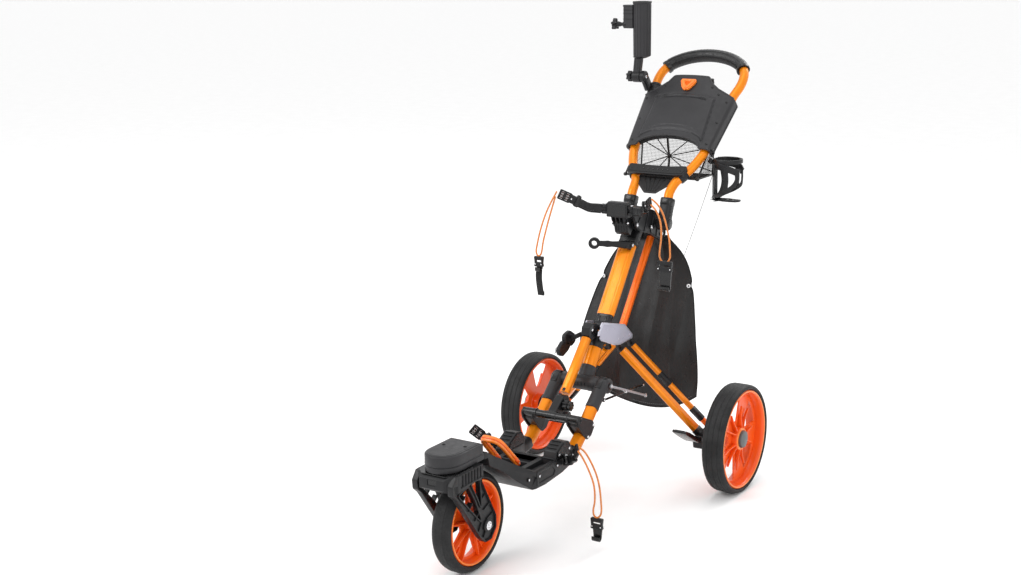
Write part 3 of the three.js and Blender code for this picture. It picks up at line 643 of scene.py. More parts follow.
def wheel(prefix, body, centre, out, radius, width, rim, colour, nodes, grooves, round_edge, cap,
        phase):
    ax = X * out
    y = Y * out
    zz = Z
    c = V(*centre)
    group(prefix + "_tyre_piece", body,
        [lathe(tyre_profile(radius, width, rim + 0.3, grooves, round_edge), c, ax, "tyre", 112,
            closed=True)], [nodes[0]])
    h = width / 2 - 3
    inner = rim - 10
    rim_profile = [(rim, -h + 3), (rim, h - 3), (rim - 1.5, h - 0.6), (rim - 4, h),
        (rim - 6.5, h - 1.2), (inner + 1, h - 6), (inner, h - 12), (inner - 1, 2), (inner - 1, -2),
        (inner, -h + 10), (inner + 2, -h + 4), (rim - 5, -h), (rim - 2, -h + 0.6)]
    parts = [lathe(rim_profile, c, ax, colour, 112, closed=True)]
    parts.append(lathe([(rim - 1.2, h - 1.3), (rim - 2.8, h + 0.4), (rim - 5.2, h + 0.2),
        (rim - 6.8, h - 2.2), (rim - 4, h - 3)], c, ax, "orange_pale_and_highlight", 112, closed=True))
    hub = 31 if cap else 23
    web_at = 1.0
    hole_r0, hole_r1 = hub + 17, inner - 9
    windows = [window(phase + 2 * pi * i / 5, hole_r0, hole_r1, 9, 20) for i in range(5)]
    windows.append(ring(9.5, 24))
    parts.append(plate(ring(inner + 0.5, 96), y, zz, c + ax * (web_at / 1000), 4.5, colour,
        holes=windows, edge=1.2))
    far = inner + 0.5 if not cap else hub + 0.62 * (inner - hub)
    for i in range(5):
        mid = phase + 2 * pi * (i + 0.5) / 5
        for s in (-1, 1):
            a0, a1 = mid + s * radians(10), mid + s * radians(14.5)
            p0 = c + y * (hub - 3) / 1000 * cos(a0) + zz * (hub - 3) / 1000 * sin(a0)
            p1 = c + y * far / 1000 * cos(a1) + zz * far / 1000 * sin(a1)
            up = (h - 11) / 2 + 1
            parts.append(sweep([p0 + ax * up / 1000 * 1.12,
                p0.lerp(p1, 0.5) + ax * up / 1000 * 0.82, p1 + ax * up / 1000],
                box_section(3.6, 12 if cap else 13, 1.2), colour, side=(p1 - p0).cross(ax),
                scale=lambda q: (1.0, 1.15 - (0.75 if cap else 0.25) * q)))
        if not cap:
            outward = y * cos(mid) + zz * sin(mid)
            p0, p1 = c + outward * ((inner - 26) / 1000), c + outward * ((inner + 0.5) / 1000)
            parts.append(bar(p0 + ax * 0.0045, p1 + ax * 0.0045, ax.cross(p1 - p0), 3, 8, colour))
    boss = [(9.2, -h + 4), (hub - 4, -h + 4), (hub - 2, -h + 8), (hub - 3, -3), (hub, 0),
        (hub, h - 12), (hub - 1.5, h - 9.5), (hub - 5, h - 8), (hub - 8, h - 8), (hub - 9, h - 12),
        (9.2, h - 12)]
    parts += [
        lathe(boss, c, ax, colour, 48, closed=True),
        lathe([(hub - 1, h - 9.6), (hub - 3, h - 7.4), (hub - 6, h - 7.4), (hub - 7.2, h - 9.6)], c,
            ax, "orange_pale_and_highlight" if cap else colour, 48, closed=True),
    ]
    if cap:
        parts += [
            lathe([(0, h + 2.4), (10, h + 2.0), (hub - 9, h - 1), (hub - 7.6, h - 4),
                (hub - 7.6, h - 12)], c, ax, "cap_grey", 48),
            lathe([(9.6, -h + 3.6), (hub - 1, -h + 3.6), (hub + 1, -h + 1), (hub - 1, -h - 0.2),
                (9.6, -h - 0.2)], c, ax, "charcoal", 48, closed=True),
        ]
    else:
        for s in (-1, 1):
            parts.append(lathe([(6.6, 8), (17, 8), (19, 11), (19, h - 2), (17, h + 0.5),
                (11, h + 1.5), (6.6, h + 1.5)], c, ax * s, "black_gloss", 40, closed=True))
            for i in range(6):
                a = pi / 3 * i
                p = c + ax * s * (h - 2) / 1000 + (y * cos(a) + zz * sin(a)) * 0.018
                parts.append(bar(p, p + ax * s * 0.003, y * cos(a) + zz * sin(a), 3, 2,
                    "black_gloss"))
    group(prefix + "_rim_piece", body, parts, [nodes[1]])


for s, word in SIDES:
    wheel(f"rear_{word}", f"rear_wheel_{word}", (s * HALF_TRACK, 0, REAR_RADIUS), s, REAR_RADIUS,
        62.4, 134.2, "orange_plastic", (f"rear_tyre_{word}", f"rear_rim_{word}"), (-15, 0, 15), 9,
        True, radians(100))
wheel("front", "front_wheel", (0, *FRONT_AXLE), 1, FRONT_AXLE[1], 55.4, 104.7, "orange_plastic",
    ("front_tyre", "front_rim"), (), 17, False, radians(118))


# ------------------------------------------------------------------ front frame and hinge plates
LEAN = radians(36.5)     # of the column and the link tube, from upright
UPV = Vector((0, sin(LEAN), cos(LEAN)))
BACK = Vector((0, cos(LEAN), -sin(LEAN)))
COLUMN_PIVOT, LINK_PIVOT = (-165, 458), (-65, 415)
ADJUSTER = (-386, 298)
RAIL_X = 67


def along(pivot, t, n=0.0, x=0.0):
    """A point t up the column or link from its pivot, n behind its middle and x across."""
    return V(x, *pivot) + UPV * (t / 1000) + BACK * (n / 1000)


def frame_pieces():
    """Hinge plates and lug, post, casting, rails, crossbar, strut, adjuster and release pedal."""
    outline = [(-206, 479), (-84, 447), (-40, 409), (-42, 397), (-108, 394), (-142, 400),
        (-200, 424), (-233, 437), (-226, 458)]
    rim = rounded([(-206, 479), (-84, 447), (-40, 409), (-42, 398), (-108, 395), (-142, 401),
        (-200, 425), (-214, 430), (-209, 436), (-221, 437), (-217, 445), (-231, 447), (-226, 458),
        (-215, 463), (-216, 470)], [3, 12, 7, 5, 10, 8, 6, 1, 1, 1, 1, 1, 3, 2, 2], 4)
    centre = (-130, 430)
    inset = [(centre[0] + (a - centre[0]) * 0.9, centre[1] + (b - centre[1]) * 0.84)
        for a, b in rounded(outline, [4, 14, 8, 6, 10, 8, 6, 4, 4], 4)]
    slots = [
        rounded([(-96 + a, 407 + b) for a, b in ((0, 0), (9, 5), (7.5, 8), (-1.5, 3))], 1.2),
        rounded([(-62 + a, 408 + b) for a, b in ((0, 0), (3, 0), (4.5, 10), (1.5, 10))], 1.2),
    ]
    for s, word in SIDES:
        parts = [
            side_plate(rim, s * 22.2, s * 25.2, "silver", slots, edge=0.9),
            side_plate(inset, s * 24.9, s * 25.9, "lavender", slots, edge=0.4),
        ]
        parts += [bolt(V(s * 25.6, y, z), s * X, 3.2 if y > -140 else 2.2, "silver", 1.2)
            for y, z in ((-121, 413), (-59, 412), (-150, 449), (-182, 452))]
        piece(f"hinge_plate_{word}", "frame", parts, "silver_metal")

    lug = rounded([(-256, 452), (-252, 474), (-236, 482), (-212, 476), (-205, 458), (-214, 438),
        (-240, 436)], 4)
    parts = [
        side_plate(lug, -12, 12, "charcoal", edge=1.6),
        side_plate(rounded([(-252, 456), (-249, 470), (-238, 477), (-222, 473), (-222, 446),
            (-238, 442)], 3), -12.6, 12.6, "black_gloss", edge=0.8),
    ]
    for s in (-1, 1):
        parts += [
            bolt(V(s * 12.8, -239, 464), s * X, 4, "steel", 2.4),
            bolt(V(s * 12.8, -240, 449), s * X, 2.4, "black_gloss", 1.5),
        ]
    parts += [bar(V(-9 + k * 6, -253.6, 456), V(-9 + k * 6, -251.4, 470), X, 2.4, 2.4, "charcoal")
        for k in range(4)]
    piece("hinge_lug", "frame", parts, "black_plastic")

    pivot = V(0, *COLUMN_PIVOT)
    post = [
        lathe([(17, -118), (19, -118), (19, -21), (18.4, -20.2), (17, -20)], pivot, UPV,
            "orange_metal", 48, closed=True),
        lathe([(18.6, -66), (20.2, -65), (20.6, -58), (20.6, -24), (19.4, -22), (18.6, -22)], pivot,
            UPV, "charcoal", 48, closed=True),
        lathe([(0, -24), (17.2, -24), (17.2, -21.5), (12, -20.6), (0, -20.6)], pivot, UPV,
            "charcoal", 32),
    ]
    piece("post_tube", "frame", post, "orange_metal")

    parts = [
        lathe([(0, -86), (14, -86), (17.5, -85), (20, -82), (20, -48), (20.8, -46), (20.8, -26),
            (20, -24), (20, 24), (20.8, 26), (20.8, 46), (20, 48), (20, 82), (17.5, 85), (14, 86),
            (0, 86)], V(0, -275, 330), X, "slate", 48),
        lathe([(18, -160), (21, -158), (21.4, -126), (20.6, -123), (20.6, -119), (19.6, -118.4),
            (18, -118.3)], pivot, UPV, "slate", 48, closed=True),
    ]
    for s in (-1, 1):
        parts.append(lathe([(0, 0.2), (9, 0.2), (10, 1.4), (7, 1.8), (0, 1.8)],
            V(s * 86, -275, 330), s * X, "black_gloss", 24))
        axis = (V(0, -338, 284) - V(0, -252, 360)).normalized()
        start = V(s * RAIL_X, -274.5, 340.2)
        parts += [
            lathe([(0, 0), (12, 0), (16.5, 1.6), (18.4, 5), (18.4, 22), (17.9, 24), (17.9, 75),
                (18.4, 77), (18.2, 83.6), (17, 85.2), (14.8, 85.4), (14.8, 81)], start, axis,
                "slate", 48),
            side_plate(rounded([(-311, 335), (-281, 355), (-263, 349), (-281, 329), (-305, 313)],
                5), s * 58, s * 76, "charcoal", edge=2.4),
        ]
        for a, b, mat in ((V(s * 83, -303, 300), V(s * 83.5, -90, 286), "black_gloss"),
                (V(s * 88.5, -273, 330), V(s * 94, -94, 259), "stay")):
            parts.append(bar(a, b, Z, 6, 3, mat, c=1))
            for e in (a, b):
                parts += [
                    disc(e + X * (-s * 0.002), s * X, 5.4, 4.4, mat, 0.6, 24),
                    bolt(e + X * (s * 0.0022), s * X, 3.2, "steel", 1.6),
                ]
        parts += [
            bolt(V(s * 91, -196, 296), s * X, 3.6, "steel", 2.2),
            disc(V(s * 82, -196, 296), s * X, 3.2, 9, "steel", 0.4, 16),
        ]
    parts += [bar(V(-20 + 10 * k, -295.2, 326), V(-20 + 10 * k, -295.2, 336), X, 3, 2, "charcoal")
        for k in range(5)]
    piece("front_casting", "frame", parts, "black_plastic")

    rail = [(-337, 285), (-402, 225), (-432, 204), (-462, 197), (-481, 196)]
    for s, word in SIDES:
        pts = catmull([V(s * RAIL_X, y, z) for y, z in rail], 40)
        parts = [sweep(pts, box_section(30, 28, 9.5, 4), "orange_metal", side=X)]
        # Two thin darker lines along each rail's upper stretch: painted shade in its grooves.
        parts += [sweep([p + X * (s * 0.0147) + Vector((0, 0.5,
            0.5)).normalized() * off / 1000 * 0.4
            for p in pts[:20]], ring(0.5, 6), "orange_shade")
            for off in (-6, 6)]
        parts.append(sweep([V(s * RAIL_X, -441, 202.5), V(s * RAIL_X, -442, 202),
            V(s * RAIL_X, -462, 197.5), V(s * RAIL_X, -481, 196.5)], box_section(35, 33, 9, 4),
            "charcoal", side=X, scale=lambda q: 0.95 if q == 0 else 1.0))
        piece(f"front_rail_{word}", "frame", parts, "orange_metal")

    parts = [lathe([(0, -86), (8, -86), (10.4, -84.5), (11, -82), (11, -50), (12.2, -49),
        (12.2, -44), (10, -43), (10, -16), (11.4, -15), (11.4, 15), (10, 16), (10, 43), (12.2, 44),
        (12.2, 49), (11, 50), (11, 82), (10.4, 84.5), (8, 86), (0, 86)], V(0, -426, 279), X,
        "black_gloss", 40)]
    clamp = rounded([(-440, 280), (-428, 292), (-412, 284), (-362, 262), (-352, 246), (-372, 224),
        (-392, 218), (-412, 236), (-436, 264)], [6, 6, 8, 9, 9, 9, 9, 8, 8], 4)
    inner = [(-396 + (a + 396) * 0.82, 252 + (b - 252) * 0.8) for a, b in clamp]
    for s in (-1, 1):
        parts += [side_plate(clamp, s * x0, s * x1, "charcoal", edge=1.4)
            for x0, x1 in ((49, 54), (80, 85.5))]
        parts.append(side_plate(inner, s * 48.4, s * 86, "charcoal", edge=1.0))
        mid = V(s * RAIL_X, -384, 242)
        axis = (V(0, -402, 225) - V(0, -338, 284)).normalized()
        parts.append(lathe(barrel(15.4, 17.6, 18.8, 20, 18), mid, axis, "charcoal", 40,
            closed=True))
        parts += [bolt(V(s * 86, y, z), s * X, 3.6, "steel", 2.4)
            for y, z in ((-362, 250), (-390, 226))]
        parts.append(bolt(V(s * 86.2, -426, 279), s * X, 4.6, "charcoal", 2.4))
    block = rounded([(-438, 274), (-424, 292), (-384, 322), (-362, 318), (-352, 300), (-384, 280),
        (-420, 266)], 5)
    parts.append(side_plate(block, -11.6, 11.6, "charcoal", edge=1.6))
    for k in range(7):
        y, z = -372 - 6 * k, 318.5 - 4.4 * k
        parts.append(bar(V(-11, y, z), V(11, y, z), (0, 0.8, -0.6), 2.4, 3, "charcoal"))
    parts += [
        disc(V(-13.5, *ADJUSTER), -X, 8, 4, "charcoal"),
        bolt(V(-17.4, *ADJUSTER), -X, 3.6, "steel", 2),
    ]
    piece("crossbar", "frame", parts, "black_plastic")

    a, b = V(0, -247.8, 441.9), V(0, -360.6, 321.8)
    d = (b - a).normalized()
    parts = [
        prism(a, b, box_section(25, 22, 8, 4), "orange_metal", X, 0.94),
        lathe([(8, 0), (11.2, 0), (11.9, 1.4), (11.9, 9), (11.2, 10), (8, 10)], b - d * 0.011, d,
            "charcoal", 32, closed=True),
    ]
    piece("strut_rod", "frame", parts, "orange_metal")

    parts = knob(V(13.4, *ADJUSTER), X, 15.6, 14, "charcoal", 8, 1.5)
    parts += knob(V(27.5, *ADJUSTER), X, 13.4, 9, "black_gloss", 8, 1.3)
    parts.append(bolt(V(36.6, *ADJUSTER), X, 3, "steel", 0.4))
    piece("adjuster_knob", "adjuster", parts, "black_plastic")

    lobe_a = rounded([(-262, 446), (-238, 452), (-216, 438), (-214, 420), (-232, 412), (-262, 424)],
        11, 5)
    lobe_b = rounded([(-262, 424), (-286, 430), (-308, 414), (-306, 396), (-288, 388), (-262, 398),
        (-246, 410)], 11, 5)
    lobe_a = [(-238 + (y + 238) * 1.2, 433 + (z - 433) * 1.15) for y, z in lobe_a]
    lobe_b = [(y + 12, z + 3) for y, z in lobe_b]
    parts = [
        side_plate(lobe_a, -66, -54, "charcoal", edge=3.2),
        side_plate(lobe_b, -66, -54, "charcoal", edge=3.2),
        bar(V(-60.5, -270, 429), V(-60.5, -244, 415), X, 9.5, 2.2, "steel"),
        bar(V(-56, -238, 430), V(-27.5, -226, 446), Z, 12, 6, "charcoal"),
        bolt(V(-66.2, -238, 432), -X, 3, "charcoal", 1.2),
        bolt(V(-66.2, -286, 409), -X, 3, "charcoal", 1.2),
    ]
    parts += [bar(V(-66.6, -300 + 5 * k, 402 + 1.5 * k), V(-66.6, -294 + 5 * k, 418 + 1.5 * k), X,
        1.4, 1.4, "black_gloss")
        for k in range(4)]
    piece("release_pedal", "pedal", parts, "black_plastic")


frame_pieces()


# ------------------------------------------------------------------ column, link and legs
def column_pieces():
    """The column with its foot, and the link tube behind it."""
    a = COLUMN_PIVOT
    pts = [along(a, 31.2), along(a, 32), along(a, 316), along(a, 317)]
    sec = hexed(50, 20, 6.5, 1.4)
    parts = [sweep(pts, sec, "orange_metal", side=X, scale=eased(0.975))]
    # Two thin darker lines down the column's front face: painted shade in its grooves.
    parts += [sweep([along(a, 40, -10.05, x), along(a, 312, -10.05, x)], ring(0.45, 6),
        "orange_shade")
        for x in (-12.5, 12.5)]
    parts.append(sweep([along(a, 240), along(a, 241.5), along(a, 314), along(a, 316.6)],
        box_section(54, 24, 6, 3), "charcoal", side=X, scale=eased(0.96)))
    parts += [sweep([along(a, t), along(a, t + 3)], box_section(55, 25.4, 6, 3), "black_gloss",
        side=X)
        for t in (246, 260, 284, 300)]
    piece("column_tube", "column", parts, "orange_metal")
    parts = [
        sweep([along(a, 2), along(a, 8), along(a, 28), along(a, 30.6)], box_section(40, 18, 4, 3),
            "charcoal", side=X, scale=lambda q: 0.9 if q == 0 else 1.0),
        lathe(barrel(0, 11, 13, 20, 18), along(a, 0), X, "charcoal", 36),
        sweep([along(a, 24.5, -0.2), along(a, 30.8, -0.2)], box_section(43.4, 19.4, 5, 3),
            "black_gloss", side=X),
    ]
    parts += [bar(along(a, 8, -9.4, x), along(a, 23, -9.4, x), X, 4, 2, "black_gloss")
        for x in (-10, 10)]
    piece("column_foot", "column", parts, "black_plastic")
    b = LINK_PIVOT
    sec = hexed(20.4, 17, 4.8, 1.0)
    # The link tube in darker orange: painted shade, as it lies behind the column.
    parts = [sweep([along(b, 12), along(b, 13), along(b, 293), along(b, 294)], sec, "orange_shade",
        side=X, scale=eased(0.95))]
    for t in (0, 308):
        parts.append(lathe(barrel(0, 8, 9.3, 9, 7.6), along(b, t), X, "charcoal", 32))
        e = 1 if t == 0 else -1
        parts.append(bar(along(b, t + e * 4), along(b, t + e * 20), X, 16, 15, "charcoal", c=3))
    piece("link_tube", "link", parts, "orange_metal")


column_pieces()
LEG_N = Vector((0.794, 0, 0.608))


def leg_pieces():
    """Rear legs, their links, the axle housings and the brake pedal."""
    for s, word in SIDES:
        n = Vector((LEG_N.x * s, 0, LEG_N.z))
        for off, node, body, breadth, thick, mat in ((0, "rear_leg", "leg_", 26, 18,
                "orange_metal"), (60, "leg_link", "leg_link_", 16, 14, "orange_metal")):
            top, foot = V(s * 27, -101 + off, 378), V(s * 225, -35 + off, 160)
            d = (foot - top).normalized()
            wide = n.cross(d)
            py, pz = -113 + off, 406
            sec = hexed(breadth, thick, 4.5 if off == 0 else 3.6, 1.2)
            end = foot + d * 0.003
            parts = []
            if off == 0:
                parts.append(prism(top, end, sec, mat, wide, 0.96))
                # Two thin lighter lines along the leg's face: painted highlights.
                parts += [sweep([top + d * 0.01 + wide * k / 1000 + n * 0.00905,
                    end - d * 0.012 + wide * k / 1000 + n * 0.00905], ring(0.4, 6), "orange_pale_and_highlight")
                    for k in (-5.5, 5.5)]
                parts.append(bar(foot - d * 0.012, foot + d * 0.0036, wide, 27, 18.8, "charcoal",
                    c=4))
            else:
                total = (foot - top).length
                cuts = [(0, 0.37, mat), (0.37, 0.47, "black"), (0.47, 0.8, mat),
                    (0.8, 0.9, "black"), (0.9, 1.0, mat)]
                for q0, q1, m in cuts:
                    p0, p1 = top + d * total * q0, top + d * total * q1
                    if m == "black":
                        parts += [
                            bar(p0 - d * 0.006, p1 + d * 0.006, wide, 18, 15.4, "charcoal", c=3.5),
                            bar(p0 + d * 0.004, p1 - d * 0.004, wide, 19, 11, "black_gloss", c=3),
                            bolt((p0 + p1) / 2 + n * 0.0078, n, 2.4, "black_gloss", 1.0),
                        ]
                    else:
                        # The last stretch, by the axle housing, is in darker orange: painted shade.
                        parts.append(prism(p0, p1, sec,
                            "orange_metal" if q0 < 0.85 else "orange_shade", wide, 0.95))
            parts += [
                lathe(barrel(0, 9, 10.4, 5, 3.6), V(s * 15.5, py, pz), X, "charcoal", 32),
                bar(V(s * 15.5, py, pz), V(s * 15.5, py + 15, 377), Y, 13, 10, "charcoal", c=2.5),
                bar(V(s * 14, py + 15, 380), V(s * 33, py + 14, 376), Y, 13, 10, "charcoal", c=2.5),
            ]
            ay, az = -35 + off, 158
            parts += [
                lathe([(0, 222), (11, 222), (12.8, 223.5), (12.8, 240), (11, 241.4), (0, 241.4)],
                    V(0, ay, az), s * X, "charcoal", 36),
                bolt(V(s * 222, ay, az), -s * X, 4, "steel", 1.6),
                disc(V(s * 222.4, ay, az), -s * X, 8, 1.0, "black_gloss", 0.4, 28),
            ]
            piece(f"{node}_{word}", body + word, parts, "orange_metal")
        body = "axle_" + word
        shape = rounded([(-53, 158), (-47, 174), (-30, 178), (30, 178), (44, 170), (44, 154),
            (22, 130), (-22, 126), (-46, 142)], [8, 7, 5, 5, 7, 7, 8, 8, 8], 4)
        parts = [
            side_plate(shape, s * 242.2, s * 268, "charcoal", edge=2.2),
            side_plate([(a * 0.8, 154 + (b - 154) * 0.72) for a, b in shape], s * 266, s * 282.6,
                "charcoal", edge=1.6),
            side_plate(rounded([(-28, 108), (-32, 130), (10, 136), (16, 112)], 5), s * 205, s * 262,
                "charcoal", edge=2.4),
            side_plate(rounded([(-24, 112), (-27, 126), (6, 131), (11, 115)], 4), s * 204.2,
                s * 230, "black_gloss", edge=0.8),
            lathe([(0, 262), (16, 262), (16, 284), (12, 287), (8, 287.4), (8, 338), (7, 340),
                (0, 340)], V(0, 0, REAR_RADIUS), s * X, "steel", 32),
        ]
        for y, z in ((-35, 158), (25, 158)):
            parts += [
                disc(V(s * 283, y, z), s * X, 7, 1.5, "charcoal", 0.6, 24),
                bolt(V(s * 284.4, y, z), s * X, 3.6, "steel", 1.6),
            ]
        parts += [bar(V(s * (246 + 6 * k), -36 + k, 178.5), V(s * (246 + 6 * k), 34, 178.5), X, 2,
            1.6, "charcoal")
            for k in range(4)]
        piece(f"axle_housing_{word}", body, parts, "black_plastic")
    pedal = rounded([(-58, 140), (-50, 144), (-58, 154), (-88, 166), (-118, 184), (-142, 194),
        (-146, 188), (-122, 172), (-92, 154), (-66, 140)], [3, 4, 8, 20, 16, 4, 4, 16, 20, 5], 5)
    parts = [
        side_plate(pedal, 201, 241.4, "black_gloss", edge=1.6),
        side_plate([(a, b + 0.9) for a, b in pedal], 208, 234, "charcoal", edge=0.8),
    ]
    parts += [bar(V(212, -100 - 8 * k, 170.5 + 4.6 * k), V(231, -100 - 8 * k, 170.5 + 4.6 * k), Y,
        1.6, 1.6, "charcoal")
        for k in range(5)]
    parts += [
        lathe([(0, 200.4), (6, 200.4), (6.6, 201), (6.6, 241.2), (0, 241.2)], V(0, -55, 146), X,
            "charcoal", 24),
        bolt(V(200.6, -55, 146), -X, 3, "steel", 1.2),
    ]
    piece("brake_pedal", "brake", parts, "black_plastic")


leg_pieces()


# ------------------------------------------------------------------ cradle arms
def cradle(root, elbow, tip, width, body, nodes, lower=False):
    """A pivoting bag cradle arm: knuckle, flat bent arm, strap keeper and a pierced end plate."""
    root, elbow, tip = V(*root), V(*elbow), V(*tip)
    d = (tip - elbow).normalized()
    rise = (Z - d * d.z).normalized()
    flat = d.cross(rise).normalized()
    ladder = tip - d * 0.034
    line = catmull([root, root.lerp(elbow, 0.5), elbow, elbow.lerp(ladder, 0.5), ladder], 26)
    parts = [sweep(line, box_section(width, 7.4, 2), "charcoal", side=Z,
        scale=lambda q: (1.0 - 0.12 * sin(pi * q), 1.0))]
    for k in (-1, 1):
        rim_line = [p + Z * (k * (width / 2 - 2.2 - 1.6 * sin(pi * i / 25))) / 1000
            for i, p in enumerate(line)]
        parts.append(sweep(rim_line, box_section(3, 9.4, 1), "black_gloss", side=Z))
    parts += [
        lathe([(0, -13), (6.4, -13), (7.4, -12), (7.4, -6), (6.6, -5), (6.6, 5), (7.4, 6),
            (7.4, 12), (6.4, 13), (0, 13)], root, Z, "charcoal", 32),
        bolt(root + Z * 0.013, Z, 3.4, "steel", 1.6),
        bolt(root - Z * 0.013, -Z, 3.4, "steel", 1.6),
    ]
    half = width / 2 + 2
    outline = rounded([(-36, -half), (0, -half), (0, half), (-36, half)], 3.4)
    holes = [rounded([(t - 4.6, k - 2.7), (t + 4.6, k - 2.7), (t + 4.6, k + 2.7),
        (t - 4.6, k + 2.7)], 1.2)
        for t in (-25.5, -9.5) for k in (-7, 0, 7)]
    parts.append(plate(outline, d, rise, tip, 5.2, "charcoal", holes, edge=0.9))
    for t in (-25.5, -9.5):
        for k in (-7, 0, 7):
            c = tip + d * (t / 1000) + rise * (k / 1000) + flat * 0.0004
            parts.append(bar(c - d * 0.0043, c + d * 0.0043, rise, 4.2, 0.9, "brown", c=0.3,
                edge=0.2))
    mid = elbow.lerp(ladder, 0.62)
    parts += [
        sweep([mid - d * 0.0055, mid - d * 0.0045, mid + d * 0.0045, mid + d * 0.0055],
            box_section(width + 7, 13.5, 3), "black_gloss", side=rise, scale=eased(0.93)),
        bar(mid + rise * (width / 2 + 2.5) / 1000 - flat * 0.006,
            mid + rise * (width / 2 + 2.5) / 1000 + flat * 0.006, d, 9, 6, "charcoal", c=2.4),
    ]
    near = ladder - d * 0.003
    parts += [
        bolt(near + flat * 0.0048, flat, 2.2, "steel", 1.0),
        bolt(near - flat * 0.0048, -flat, 2.2, "steel", 1.0),
    ]
    under = [p - Z * ((width / 2 + 1.0) / 1000) for p in line[3:24]]
    parts.append(sweep(under, box_section(3.2, 4.4, 1.2), "charcoal", side=Z))
    for i in range(3):
        p = line[8 + 3 * i]
        parts.append(bar(p - Z * (width / 2400), p + Z * (width / 2400), flat, 9.0, 1.6, "charcoal",
            c=0.5))
    if lower:
        parts.append(disc(root.lerp(elbow, 0.55) + flat * (0.006 if root.x > 0 else -0.006), flat,
            9, 6, "black_gloss", 1.2, 28))
    group(nodes[0] + "_piece", body, parts, nodes)


for s, word in SIDES:
    cradle((s * 40, -74, 758), (s * 80, -94, 763), (s * 139, -152, 803), 24, f"arm_upper_{word}",
        [f"upper_cradle_arm_{word}"])
    cradle((s * 96, -516, 204), (s * 118, -524, 212), (s * 157, -560, 258), 24, f"arm_lower_{word}",
        [f"lower_cradle_arm_{word}"], lower=True)


# ------------------------------------------------------------------ head, yoke, bag rest
def head_outline(half, front, back):
    pts = [(half, back), (-half, back), (-half, front + 52)]
    for i in range(1, 24):
        a = pi * i / 24
        pts.append((-half * cos(a), front + 52 - 52 * sin(a)))
    pts.append((half, front + 52))
    return pts


